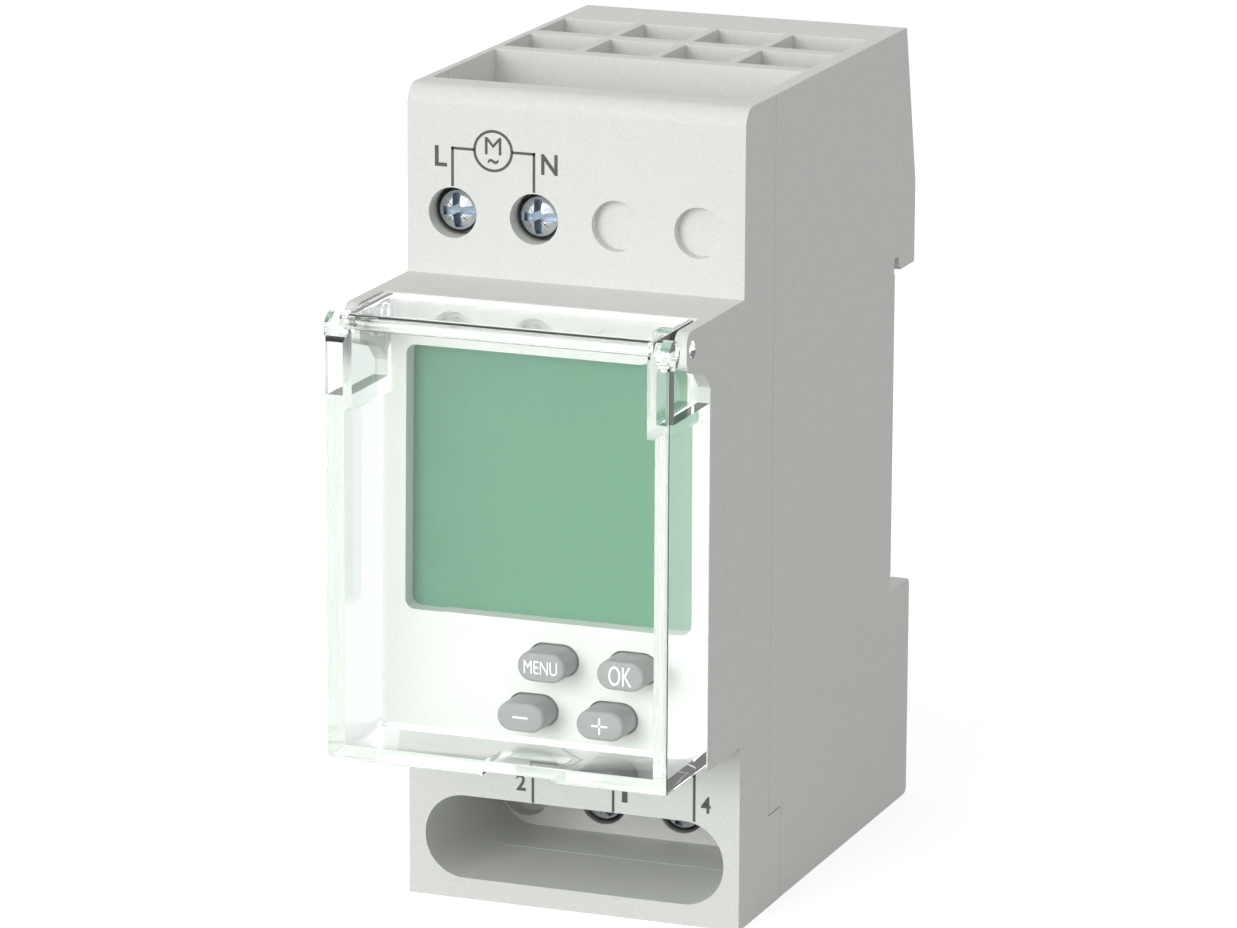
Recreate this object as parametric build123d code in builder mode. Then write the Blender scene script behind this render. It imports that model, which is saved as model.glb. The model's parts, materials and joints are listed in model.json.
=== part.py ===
"""Two-module timer for a 35 mm top-hat rail, as an assembly of separate pieces.

X runs across the width, Y into the depth (the front faces -Y) and Z up. The origin is the centre of
the face that rests on the rail. All sizes are millimetres.
"""

import os

from build123d import *

os.makedirs("parts", exist_ok=True)

# ---- Housing ---------------------------------------------------------------------------------
module_width = 18.0
module_count = 2
housing_height = 84.4
side_wall = 1.2
floor_wall = 1.2
face_wall = 1.8
nose_wall = 2.0
shoulder_y = -46.5
nose_y = -56.0
nose_top = 23.1
nose_bottom = -22.8
seam_y = -37.8
seam_low_y = -34.3
seam_step_z = -32.5
seam_gap = 0.12
top_edge_radius = 2.0
bottom_edge_radius = 1.2
small_edge_radius = 0.8

tongue_width = 6.0
tongue_thickness = 0.9
tongue_reach = 3.4
tongue_nub = 0.4
tongue_gap = 0.08
tongue_heights = (-14.0, 10.0)

# ---- Rail recess and rail latch ----------------------------------------------------------------
back_y = 6.3
back_top_y = 2.75
back_slope_z = 25.3
rail_rim = 1.0
rail_play = 0.2
rail_notch_top = 18.0
hook_tip_z = 16.5
lower_block_top = -18.1
seat_half_height = 16.4
seat_relief = 0.25
seat_wall = 1.8
latch_width = 14.0
latch_thickness = 3.2
latch_travel = 3.0
latch_clearance = 0.3
spring_wire = 0.5
spring_depth = 2.2
spring_turns = 4
spring_bend_share = 0.45
spring_low_z = -36.3
peg_width = 8.0
peg_height = 1.5
latch_window_width = 11.0
latch_window_top = -24.0
latch_lead = 1.8
hook_z = -16.5
hook_bevel = 0.6
latch_lip = 0.8
pry_width = 5.0
pry_height = 1.4
pry_rise = 1.5

# ---- Terminals -----------------------------------------------------------------------------------
terminal_pitch = 8.75
upper_screw_drop = 12.75
lower_screw_rise = 5.7
screw_head_diameter = 4.6
screw_head_length = 2.2
screw_head_gap = 0.275
screw_shank_diameter = 3.5
screw_shank_length = 8.0
screw_running_gap = 0.05
screw_dome = 0.5
cross_width = 0.8
cross_length = 3.4
cross_depth = 1.3
upper_head_inset = 1.0
lower_head_proud = 0.4
head_seat_gap = 0.2
guide_length = 1.5
blind_hole_depth = 1.2
cage_width = 6.6
cage_height = 7.0
cage_side = 0.8
cage_front = 1.6
cage_corner = 0.5
cage_under_gap = 0.7
cage_back = 1.2
cage_space = 3.8
cage_travel = 3.0
bar_width = 4.4
bar_thickness = 1.0
bar_gap = 0.3
cage_bar_gap = 0.6
rib_thickness = 1.0
bar_overhang = 0.3
upper_bar_foot_z = 23.6
lower_bar_foot_z = -26.4

# ---- Pockets and slot ------------------------------------------------------------------------------
pocket_left_wall = 0.8
pocket_right_wall = 1.7
pocket_depth = 7.6
front_pocket_y = -42.1
front_pocket_length = 17.0
pocket_row_gap = 2.1
pocket_row_length = 7.6
pocket_rib = 1.05
inner_cell = 7.25
wire_entry_width = 5.2
wire_entry_length = 4.6
slot_floor_wall = 2.2
slot_height = 8.8
slot_radius = 4.3
slot_left_wall = 1.8
slot_right_wall = 1.7
slot_back_y = -26.5
slot_back_wall = 3.5
slot_tube_wall = 1.2

# ---- Display ---------------------------------------------------------------------------------------
window_width = 28.8
window_height = 26.95
window_x = 0.5
window_z = 4.62
window_radius = 1.0
lcd_border = 0.75
lcd_thickness = 2.8
frame_wall = 0.6
board_thickness = 1.6
display_board_y = -48.6
display_board_height = 42.0
board_play = 0.4
strip_width = 1.8

# ---- Buttons ---------------------------------------------------------------------------------------
button_width = 5.0
button_height = 3.0
button_gap = 0.15
button_proud = 3.5
button_travel = 0.6
button_edge = 0.35
button_pitch_x = 8.33
upper_row_x = 1.82
lower_row_x = -0.33
upper_row_z = -12.6
lower_row_z = -17.9
flange_margin = 0.4
flange_thickness = 0.8
flange_play = 0.15
switch_width = 4.6
switch_height = 3.4
switch_depth = 2.6
plunger_radius = 1.0
plunger_gap = 0.05
plunger_reach = 0.9

# ---- Hinged cover ----------------------------------------------------------------------------------
ear_thickness = 1.3
ear_front_drop = 1.8
ear_heel = 1.6
ear_heel_drop = 3.3
ear_root_drop = 4.9
ear_reach = 6.75
hinge_y = -61.0
hinge_z = 21.2
pin_radius = 0.85
pin_gap = 0.06
pin_boss_radius = 1.3
pin_boss_length = 1.2
cover_front_y = -67.65
cover_bottom_z = -22.25
cover_front_wall = 1.5
cover_side_wall = 1.7
cover_upper_wall = 0.95
cover_top_wall = 1.4
cover_bottom_wall = 1.5
cover_step_z = 14.8
cover_gap = 0.3
cover_back_gap = 0.3
cover_roof_gap = 0.65
cover_edge = 0.8
barrel_radius = 1.5
barrel_length = 2.1
scoop_x = 2.2
scoop_width = 7.6
scoop_length = 6.5
scoop_depth = 0.6

# ---- Circuit boards and what is on them ------------------------------------------------------------
power_board_y = -27.2
power_board_top_gap = 2.4
power_board_bottom = -28.6
post_radius = 1.3
relay_width = 12.7
relay_height = 15.7
relay_length = 29.0
relay_base = 1.6
relay_x = 9.4
relay_z = -8.0
pin_pitch = 2.0
header_pins_count = 8
header_z = -6.0
header_height = 2.5
socket_height = 8.5
pin_size = 0.6
pin_end_gap = 0.3
cell_diameter = 20.0
cell_thickness = 3.2
cell_rim_front = 0.8
cell_rim_back = 0.3
cell_seat_inset = 1.0
cell_seat_ring = 3.0
cell_x = 5.6
cell_z = 18.6
clip_thickness = 0.4
clip_width = 5.0
solder_tab = 1.6
solder_reach = 0.4
board_hole_gap = 0.1
lead_size = 0.7
cell_standoff = 1.2
film_width = 7.0
film_length = 18.0
film_height = 13.0
film_x = -10.2
film_z = -9.0
can_radius = 5.0
can_height = 16.0
can_x = -8.5
can_z = 8.5
disc_radius = 4.5
disc_thickness = 4.0
disc_standoff = 1.0
disc_x = -10.2
disc_z = 20.0
resistor_radius = 1.6
resistor_length = 8.5
resistor_standoff = 0.4
resistor_x = -1.8
resistor_z = -9.0
chip_size = 9.0
chip_height = 1.2
chip_bevel = 0.15
chip_z = 6.0
quartz_radius = 1.0
quartz_length = 6.0
quartz_x = 7.0
quartz_z = -3.0

# ---- Derived places --------------------------------------------------------------------------------
half_width = module_width * module_count / 2
inner_half = half_width - side_wall
top_z = housing_height / 2
bottom_z = -housing_height / 2
columns = [(index - 1.5) * terminal_pitch for index in range(4)]
upper_screw_z = top_z - upper_screw_drop
lower_screw_z = bottom_z + lower_screw_rise
upper_head_y = shoulder_y + upper_head_inset
lower_head_y = slot_back_y - lower_head_proud
pocket_floor_z = top_z - pocket_depth
cavity_top_z = pocket_floor_z - floor_wall
cavity_bottom_z = bottom_z + floor_wall
pocket_left = -(half_width - pocket_left_wall)
pocket_right = half_width - pocket_right_wall
outer_cell = (pocket_right - pocket_left - 2 * inner_cell - 3 * pocket_rib) / 2
front_pocket_back_y = front_pocket_y + front_pocket_length
slot_low_z = bottom_z + slot_floor_wall
slot_high_z = slot_low_z + slot_height
slot_left = -(half_width - slot_left_wall)
slot_right = half_width - slot_right_wall
slot_roof_z = slot_high_z + slot_tube_wall
slot_wall_back_y = slot_back_y + slot_back_wall
screw_hole_radius = screw_head_diameter / 2 + screw_head_gap
guide_radius = screw_shank_diameter / 2 + screw_running_gap
nose_inner_y = nose_y + nose_wall
lcd_low_z = window_z - window_height / 2 - lcd_border
lcd_high_z = window_z + window_height / 2 + lcd_border
lcd_half_width = window_width / 2 + lcd_border
lcd_back_y = nose_inner_y + lcd_thickness
display_board_back_y = display_board_y + board_thickness
display_board_low_z = nose_bottom + nose_wall
display_board_high_z = display_board_low_z + display_board_height
power_board_back_y = power_board_y + board_thickness
power_board_top = cavity_top_z - power_board_top_gap
board_half_width = inner_half - board_play
post_x = board_half_width - post_radius
post_low_z = relay_z - relay_length / 2 - post_radius - 0.8
post_high_z = relay_z + relay_length / 2 + post_radius + 0.2
button_places = {
    "menu": (upper_row_x, upper_row_z),
    "ok": (upper_row_x + button_pitch_x, upper_row_z),
    "minus": (lower_row_x, lower_row_z),
    "plus": (lower_row_x + button_pitch_x, lower_row_z),
}
flange_front_y = nose_inner_y + flange_play
flange_back_y = flange_front_y + flange_thickness
switch_front_y = display_board_y - switch_depth
terminals = {
    "line": (columns[0], upper_screw_z, upper_head_y),
    "neutral": (columns[1], upper_screw_z, upper_head_y),
    "closing": (columns[1], lower_screw_z, lower_head_y),
    "common": (columns[2], lower_screw_z, lower_head_y),
    "opening": (columns[3], lower_screw_z, lower_head_y),
}


def block(x, y, z, mode=Mode.ADD):
    """Puts a rectangular block between the given limits into the part being built."""
    centre = ((x[0] + x[1]) / 2, (y[0] + y[1]) / 2, (z[0] + z[1]) / 2)
    with Locations(centre):
        Box(x[1] - x[0], y[1] - y[0], z[1] - z[0], mode=mode)


def rod(x, z, radius, y, mode=Mode.ADD):
    """Puts a round rod along Y, between the given limits, into the part being built."""
    with Locations(Location((x, (y[0] + y[1]) / 2, z), (90, 0, 0))):
        Cylinder(radius, y[1] - y[0], mode=mode)


def cross_rod(y, z, radius, x, mode=Mode.ADD):
    """Puts a round rod along X, between the given limits, into the part being built."""
    with Locations(Location(((x[0] + x[1]) / 2, y, z), (0, 90, 0))):
        Cylinder(radius, x[1] - x[0], mode=mode)


def side_prism(points, x_low, x_high, mode=Mode.ADD):
    """Extrudes an outline drawn in Y and Z across X into the part being built."""
    with BuildSketch(Plane.YZ.offset(x_low)) as outline:
        with BuildLine():
            Polyline(points, close=True)
        make_face()
    extrude(outline.sketch, amount=x_high - x_low, mode=mode)


def face_slot(x, z, width, height, radius, y, mode=Mode.ADD):
    """Extrudes a rounded rectangle facing the front between two depths into the part being built."""
    facing = Plane(origin=(x, y[0], z), x_dir=(1, 0, 0), z_dir=(0, 1, 0))
    with BuildSketch(facing) as outline:
        RectangleRounded(width, height, radius)
    extrude(outline.sketch, amount=y[1] - y[0], mode=mode)


def face_stadium(place, width, height, y, mode=Mode.ADD):
    """Extrudes a stadium facing the front between two depths into the part being built."""
    facing = Plane(origin=(place[0], y[0], place[1]), x_dir=(1, 0, 0), z_dir=(0, 1, 0))
    with BuildSketch(facing) as outline:
        SlotOverall(width, height)
    extrude(outline.sketch, amount=y[1] - y[0], mode=mode)


def cut_top_pockets():
    """Cuts the long wire pocket and the two rows of cells into the top face."""
    depth = (pocket_floor_z, top_z + 1)
    block((pocket_left, pocket_right), (front_pocket_y, front_pocket_back_y), depth, Mode.SUBTRACT)
    row_y = front_pocket_back_y + pocket_row_gap
    for row in range(2):
        left = pocket_left
        for cell in (outer_cell, inner_cell, inner_cell, outer_cell):
            block((left, left + cell), (row_y, row_y + pocket_row_length), depth, Mode.SUBTRACT)
            left += cell + pocket_rib
        row_y += pocket_row_length + pocket_row_gap


def cut_lower_slot():
    """Cuts the wide rounded slot that gives the screwdriver its way to the lower terminals."""
    face_slot(
        (slot_left + slot_right) / 2,
        (slot_low_z + slot_high_z) / 2,
        slot_right - slot_left,
        slot_height,
        slot_radius,
        (shoulder_y - 1, slot_back_y),
        Mode.SUBTRACT,
    )


def cut_wire_entries(names, z):
    """Cuts the wire entries of the named terminals through the wall between two heights."""
    for name in names:
        x, _, head_y = terminals[name]
        centre_y = cage_space_centre(head_y)
        across = (x - wire_entry_width / 2, x + wire_entry_width / 2)
        along = (centre_y - wire_entry_length / 2, centre_y + wire_entry_length / 2)
        block(across, along, z, Mode.SUBTRACT)


def upper_partition(y):
    """Puts the rib between the two upper clamps, hanging from the pocket floor."""
    middle = (columns[0] + columns[1]) / 2
    z = (upper_screw_z - cage_height / 2, cavity_top_z)
    block((middle - rib_thickness / 2, middle + rib_thickness / 2), y, z)


def snap_tongue(side, z):
    """Puts in a tongue that snaps the front shell into the rear shell at one side wall."""
    with BuildSketch(Plane.XY.offset(z - tongue_width / 2)) as outline:
        with BuildLine():
            Polyline(
                (side * (inner_half - tongue_thickness), seam_y - tongue_reach),
                (side * (inner_half + side_wall / 2), seam_y - tongue_reach),
                (side * (inner_half + side_wall / 2), seam_y - tongue_nub),
                (side * (inner_half - tongue_gap), seam_y),
                (side * (inner_half - tongue_gap), seam_y + tongue_reach - 2 * tongue_nub),
                (side * (inner_half + tongue_nub), seam_y + tongue_reach - tongue_nub),
                (side * (inner_half - tongue_gap), seam_y + tongue_reach),
                (side * (inner_half - tongue_thickness), seam_y + tongue_reach),
                close=True,
            )
        make_face()
    extrude(outline.sketch, amount=tongue_width)


def tongue_seat(side, z):
    """Cuts the seat of a tongue's nub into the rear shell's side wall."""
    x = sorted((side * (inner_half - tongue_gap), side * (inner_half + tongue_nub + tongue_gap)))
    y = (seam_y + tongue_reach - 2 * tongue_nub - tongue_gap, seam_y + tongue_reach + tongue_gap)
    block(x, y, (z - tongue_width / 2 - tongue_gap, z + tongue_width / 2 + tongue_gap), Mode.SUBTRACT)


def guide_front(head_y):
    """Depth of the shoulder that a screw's head stops against."""
    return head_y + screw_head_length + head_seat_gap


def bar_front(head_y):
    """Depth of a terminal bar's front face behind its screw head's front."""
    return head_y + screw_head_length + screw_shank_length + bar_gap


def cage_space_centre(head_y):
    """Depth of the middle of the wire space behind a terminal's bar."""
    bar_back = bar_front(head_y) + bar_thickness
    cage_inside_back = bar_front(head_y) - cage_bar_gap + bar_thickness + cage_space + cage_bar_gap
    return (bar_back + cage_inside_back) / 2


# ---- Rear housing shell ------------------------------------------------------------------------------
notch_y = rail_rim + rail_play
rear_front_y = seam_y + seam_gap
rear_low_front_y = seam_low_y + seam_gap
hook_cavity_y = back_y - seat_wall

with BuildPart() as rear_shell:
    with BuildSketch(Plane.YZ.offset(-half_width)):
        with BuildLine():
            Polyline(
                (rear_front_y, top_z),
                (back_top_y, top_z),
                (back_y, back_slope_z),
                (back_y, hook_tip_z),
                (notch_y + hook_bevel, hook_tip_z),
                (notch_y, hook_tip_z + hook_bevel),
                (notch_y, rail_notch_top),
                (-seat_relief, rail_notch_top),
                (-seat_relief, seat_half_height),
                (0, seat_half_height),
                (0, -seat_half_height),
                (-seat_relief, -seat_half_height),
                (-seat_relief, lower_block_top),
                (back_y, lower_block_top),
                (back_y, bottom_z),
                (rear_low_front_y, bottom_z),
                (rear_low_front_y, seam_step_z + seam_gap),
                (rear_front_y, seam_step_z + seam_gap),
                close=True,
            )
        make_face()
    extrude(amount=2 * half_width)
    back_edges = rear_shell.edges().filter_by(Axis.X).filter_by_position(Axis.Y, back_y - 0.1, back_y + 0.1)
    fillet(back_edges.filter_by_position(Axis.Z, bottom_z - 1, lower_block_top + 1), small_edge_radius)

    # Main chamber, with its step up into the hook block.
    side_prism(
        [
            (rear_front_y - 1, cavity_top_z),
            (front_pocket_back_y, cavity_top_z),
            (back_top_y - seat_wall, cavity_top_z),
            (hook_cavity_y, back_slope_z),
            (hook_cavity_y, rail_notch_top + seat_wall),
            (-seat_relief - seat_wall, rail_notch_top + seat_wall),
            (-seat_relief - seat_wall, cavity_bottom_z),
            (slot_wall_back_y, cavity_bottom_z),
            (slot_wall_back_y, slot_roof_z),
            (rear_front_y - 1, slot_roof_z),
        ],
        -inner_half,
        inner_half,
        Mode.SUBTRACT,
    )
    cut_top_pockets()
    cut_lower_slot()

    # Counterbored guides of the lower terminal screws; the first place stays an empty hole.
    for column in columns:
        hole_y = (slot_back_y - 1, guide_front(lower_head_y))
        rod(column, lower_screw_z, screw_hole_radius, hole_y, Mode.SUBTRACT)
    for column in columns[1:]:
        rod(column, lower_screw_z, guide_radius, (slot_back_y, slot_wall_back_y + 1), Mode.SUBTRACT)

    cut_wire_entries(("line", "neutral"), (cavity_top_z - 1, pocket_floor_z + 1))
    cut_wire_entries(("closing", "common", "opening"), (bottom_z - 1, cavity_bottom_z + 1))

    # Ribs between the lower clamps, standing on the floor of the chamber.
    for left, right in zip(columns[:-1], columns[1:]):
        middle = (left + right) / 2
        block(
            (middle - rib_thickness / 2, middle + rib_thickness / 2),
            (slot_wall_back_y, -seat_relief - seat_wall),
            (cavity_bottom_z, lower_screw_z + cage_height / 2),
        )

    # Channel of the rail latch, open at both ends of the lower block.
    block(
        (-latch_width / 2 - latch_clearance, latch_width / 2 + latch_clearance),
        (notch_y, notch_y + latch_thickness + 2 * latch_clearance),
        (bottom_z - 1, lower_block_top + 1),
        Mode.SUBTRACT,
    )

    # Peg that the latch spring stands on.
    block(
        (-peg_width / 2, peg_width / 2),
        (notch_y, notch_y + latch_thickness + 2 * latch_clearance),
        (spring_low_z - peg_height, spring_low_z),
    )

    # Posts that carry the power board.
    for x in (-post_x, post_x):
        for z in (post_low_z, post_high_z):
            rod(x, z, post_radius, (power_board_back_y, -seat_wall))

    upper_partition((rear_front_y, power_board_y - board_play))
    for side in (-1, 1):
        for z in tongue_heights:
            tongue_seat(side, z)
rear_shell.part.label = "rear_shell"
export_step(rear_shell.part, "parts/rear_shell.step")


# ---- Front housing shell -----------------------------------------------------------------------------
guide_back_y = guide_front(upper_head_y) + guide_length
face_back_y = shoulder_y + face_wall
ear_front_y = nose_y - ear_reach
ear_inner = half_width - ear_thickness
roof_inner_z = nose_top - face_wall
floor_inner_z = nose_bottom + nose_wall

with BuildPart() as front_shell:
    with BuildSketch(Plane.YZ.offset(-half_width)) as side_outline:
        with BuildLine():
            Polyline(
                (seam_y, top_z),
                (shoulder_y, top_z),
                (shoulder_y, nose_top),
                (nose_y, nose_top),
                (nose_y, nose_bottom),
                (shoulder_y, nose_bottom),
                (shoulder_y, bottom_z),
                (seam_low_y, bottom_z),
                (seam_low_y, seam_step_z),
                (seam_y, seam_step_z),
                close=True,
            )
        make_face()
        corners = side_outline.vertices()
        front_corners = corners.filter_by_position(Axis.X, shoulder_y - 0.1, shoulder_y + 0.1)
        fillet(front_corners.sort_by(Axis.Y)[-1], top_edge_radius)
        fillet(front_corners.sort_by(Axis.Y)[0], bottom_edge_radius)
        nose_corners = side_outline.vertices().filter_by_position(Axis.X, nose_y - 0.1, nose_y + 0.1)
        fillet(nose_corners.sort_by(Axis.Y)[0], small_edge_radius)
    extrude(amount=2 * half_width)

    side_prism(
        [
            (seam_y + 1, cavity_top_z),
            (guide_back_y, cavity_top_z),
            (guide_back_y, upper_screw_z - cage_height / 2 - cage_under_gap),
            (face_back_y, upper_screw_z - cage_height / 2 - cage_under_gap),
            (face_back_y, roof_inner_z),
            (nose_inner_y, roof_inner_z),
            (nose_inner_y, floor_inner_z),
            (face_back_y, floor_inner_z),
            (face_back_y, slot_roof_z),
            (seam_y + 1, slot_roof_z),
        ],
        -inner_half,
        inner_half,
        Mode.SUBTRACT,
    )
    cut_top_pockets()
    cut_lower_slot()

    # Upper screw holes: two counterbored guides and two blind places.
    for column in columns[:2]:
        hole_y = (shoulder_y - 1, guide_front(upper_head_y))
        rod(column, upper_screw_z, screw_hole_radius, hole_y, Mode.SUBTRACT)
        rod(column, upper_screw_z, guide_radius, (shoulder_y, guide_back_y + 1), Mode.SUBTRACT)
    for column in columns[2:]:
        hole_y = (shoulder_y - 1, shoulder_y + blind_hole_depth)
        rod(column, upper_screw_z, screw_hole_radius, hole_y, Mode.SUBTRACT)

    # Display window and button openings.
    through_nose = (nose_y - 1, nose_inner_y + 0.5)
    face_slot(window_x, window_z, window_width, window_height, window_radius, through_nose, Mode.SUBTRACT)
    for place in button_places.values():
        opening = (button_width + 2 * button_gap, button_height + 2 * button_gap)
        face_stadium(place, *opening, through_nose, Mode.SUBTRACT)

    # Hinge ears, one at each cheek of the nose.
    for x_low in (-half_width, ear_inner):
        with BuildSketch(Plane.YZ.offset(x_low)) as ear:
            with BuildLine():
                Polyline(
                    (nose_y + 1, nose_top),
                    (ear_front_y, nose_top),
                    (ear_front_y, hinge_z - ear_front_drop),
                    (nose_y - ear_heel, hinge_z - ear_heel_drop),
                    (nose_y, hinge_z - ear_root_drop),
                    (nose_y + 1, hinge_z - ear_root_drop),
                    close=True,
                )
            make_face()
            tips = ear.vertices().group_by(Axis.X)[0]
            fillet(tips, ear_thickness)
        extrude(amount=ear_thickness)
    cross_rod(hinge_y, hinge_z, pin_radius + pin_gap, (-half_width - 1, half_width + 1), Mode.SUBTRACT)

    # Posts that the display board stands on.
    for x in (-post_x, post_x):
        rod(x, display_board_low_z + post_radius + board_play, post_radius, (nose_inner_y, display_board_y))

    upper_partition((guide_back_y, seam_y))
    for side in (-1, 1):
        for z in tongue_heights:
            snap_tongue(side, z)
front_shell.part.label = "front_shell"
export_step(front_shell.part, "parts/front_shell.step")

# ---- Clear hinged cover --------------------------------------------------------------------------------
cover_back_y = nose_y - cover_back_gap
cover_roof_back_y = nose_y - cover_roof_gap
upper_half = ear_inner - cover_gap
cover_inner_front_y = cover_front_y + cover_front_wall
barrel_y = cover_front_y + barrel_radius
barrel_z = nose_top - barrel_radius
web_low_z = cover_step_z - cover_bottom_wall

with BuildPart() as cover:
    block((-half_width, half_width), (cover_front_y, cover_back_y), (cover_bottom_z, cover_step_z))
    block((-half_width, half_width), (cover_front_y, cover_inner_front_y), (cover_step_z, barrel_z))
    block((-upper_half, upper_half), (cover_front_y, cover_back_y), (cover_step_z, hinge_z))
    block((-upper_half, upper_half), (cover_front_y, cover_roof_back_y), (hinge_z, nose_top))
    front_edges = cover.edges().group_by(Axis.Y)[0]
    fillet(front_edges.group_by(Axis.Z)[0], cover_edge)
    low_sides = cover.edges().filter_by(Axis.Z).group_by(Axis.Y)[0]
    fillet(low_sides.filter_by_position(Axis.X, -half_width - 0.1, -half_width + 0.1), cover_edge / 2)
    fillet(low_sides.filter_by_position(Axis.X, half_width - 0.1, half_width + 0.1), cover_edge / 2)
    block(
        (-half_width + cover_side_wall, half_width - cover_side_wall),
        (cover_inner_front_y, nose_y),
        (cover_bottom_z + cover_bottom_wall, web_low_z),
        Mode.SUBTRACT,
    )
    block(
        (-upper_half + cover_upper_wall, upper_half - cover_upper_wall),
        (cover_inner_front_y, nose_y),
        (web_low_z, nose_top - cover_top_wall),
        Mode.SUBTRACT,
    )
    # Round barrels at both ends of the top edge.
    for side in (-1, 1):
        ends = sorted((side * (half_width - barrel_length), side * half_width))
        cross_rod(barrel_y, barrel_z, barrel_radius, ends)
        boss = sorted((side * (upper_half - cover_upper_wall - pin_boss_length), side * upper_half))
        cross_rod(hinge_y, hinge_z, pin_boss_radius, boss)
        pin = sorted((side * upper_half, side * (half_width - pin_gap)))
        cross_rod(hinge_y, hinge_z, pin_radius, pin)
    # Shallow finger scoop under the bottom wall.
    block(
        (scoop_x - scoop_width / 2, scoop_x + scoop_width / 2),
        (cover_front_y - 1, cover_front_y + scoop_length),
        (cover_bottom_z - 1, cover_bottom_z + scoop_depth),
        Mode.SUBTRACT,
    )
cover.part.label = "cover"
export_step(cover.part, "parts/cover.step")


# ---- Display -------------------------------------------------------------------------------------------
lcd_x = (window_x - lcd_half_width, window_x + lcd_half_width)
strip_x = (lcd_x[0] + strip_width, lcd_x[1] - strip_width)
strip_rows = ((lcd_low_z, lcd_low_z + strip_width), (lcd_high_z - strip_width, lcd_high_z))

with BuildPart() as lcd_panel:
    block(lcd_x, (nose_inner_y, lcd_back_y), (lcd_low_z, lcd_high_z))
lcd_panel.part.label = "lcd_panel"
export_step(lcd_panel.part, "parts/lcd_panel.step")

with BuildPart() as lcd_frame:
    frame_x = (lcd_x[0] - frame_wall, lcd_x[1] + frame_wall)
    frame_z = (lcd_low_z - frame_wall, lcd_high_z + frame_wall)
    block(frame_x, (nose_inner_y, display_board_y), frame_z)
    block(lcd_x, (nose_inner_y - 1, lcd_back_y), (lcd_low_z, lcd_high_z), Mode.SUBTRACT)
    middle_z = (strip_rows[0][1] + frame_wall, strip_rows[1][0] - frame_wall)
    block(strip_x, (lcd_back_y - 1, display_board_y + 1), middle_z, Mode.SUBTRACT)
    for row in strip_rows:
        block(strip_x, (lcd_back_y - 1, display_board_y + 1), row, Mode.SUBTRACT)
lcd_frame.part.label = "lcd_frame"
export_step(lcd_frame.part, "parts/lcd_frame.step")

with BuildPart() as contact_strips:
    for row in strip_rows:
        block(strip_x, (lcd_back_y, display_board_y), row)
contact_strips.part.label = "contact_strips"
export_step(contact_strips.part, "parts/contact_strips.step")

# ---- Boards and the header between them ------------------------------------------------------------------
header_half = header_pins_count * pin_pitch / 2
header_places = [(index - (header_pins_count - 1) / 2) * pin_pitch for index in range(header_pins_count)]
header_rows = (header_z - header_height / 2, header_z + header_height / 2)
pins_y = (display_board_y - solder_reach, power_board_y - 2 * pin_size)


def header_pin_set(size, y, mode=Mode.ADD):
    """Puts in, or cuts the holes of, the row of square pins between the boards."""
    for x in header_places:
        block((x - size / 2, x + size / 2), y, (header_z - size / 2, header_z + size / 2), mode)


def lead_places():
    """Places of the round leads of the parts soldered to the power board."""
    relay_leads = [
        (relay_x + side * relay_width * 0.3, relay_z + along * relay_length)
        for side in (-1, 1)
        for along in (-0.38, 0.2, 0.38)
    ]
    return {
        "relay": relay_leads,
        "mains_capacitor": [(film_x, film_z - film_length * 0.4), (film_x, film_z + film_length * 0.4)],
        "smoothing_capacitor": [(can_x - 2.5, can_z), (can_x + 2.5, can_z)],
        "varistor": [(disc_x - 2.5, disc_z), (disc_x + 2.5, disc_z)],
        "fusible_resistor": [(resistor_x, resistor_z - 5.5), (resistor_x, resistor_z + 5.5)],
    }


def leads(name, reach):
    """Puts in the leads of one soldered part, from the board's front to a depth behind the board."""
    for x, z in lead_places()[name]:
        rod(x, z, lead_size / 2, (power_board_y - solder_reach, power_board_back_y + reach))


def is_upper(head_y):
    """Tells whether a terminal is in the upper row, whose screws lie in front of the lower slot's wall."""
    return head_y < slot_back_y - slot_back_wall


def bar_tab_y(head_y):
    """Depths of a terminal bar's solder tab, through the power board from its own side."""
    if head_y < power_board_y:
        return (power_board_y, power_board_back_y + solder_reach)
    return (power_board_y - solder_reach, power_board_back_y)


def bar_foot_z(head_y):
    """Heights of a terminal bar's foot, which runs to the power board."""
    if is_upper(head_y):
        return (upper_bar_foot_z - bar_thickness, upper_bar_foot_z)
    return (lower_bar_foot_z - bar_thickness, lower_bar_foot_z)


with BuildPart() as display_board:
    board_x = (-board_half_width, board_half_width)
    board_z = (display_board_low_z, display_board_high_z)
    block(board_x, (display_board_y, display_board_back_y), board_z)
    through = (display_board_y - 1, display_board_back_y + 1)
    header_pin_set(pin_size + board_hole_gap, through, Mode.SUBTRACT)
display_board.part.label = "display_board"
export_step(display_board.part, "parts/display_board.step")

with BuildPart() as power_board:
    board_z = (power_board_bottom, power_board_top)
    block(board_x, (power_board_y, power_board_back_y), board_z)
    through = (power_board_y - 1, power_board_back_y + 1)
    for places in lead_places().values():
        for x, z in places:
            rod(x, z, (lead_size + board_hole_gap) / 2, through, Mode.SUBTRACT)
    for x, screw_z, head_y in terminals.values():
        tab_half = (solder_tab + board_hole_gap) / 2
        foot = bar_foot_z(head_y)
        slot_z = (foot[0] - board_hole_gap / 2, foot[1] + board_hole_gap / 2)
        block((x - tab_half, x + tab_half), through, slot_z, Mode.SUBTRACT)
power_board.part.label = "power_board"
export_step(power_board.part, "parts/power_board.step")

with BuildPart() as header_pins:
    header_pin_set(pin_size, pins_y)
header_pins.part.label = "header_pins"
export_step(header_pins.part, "parts/header_pins.step")

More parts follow.
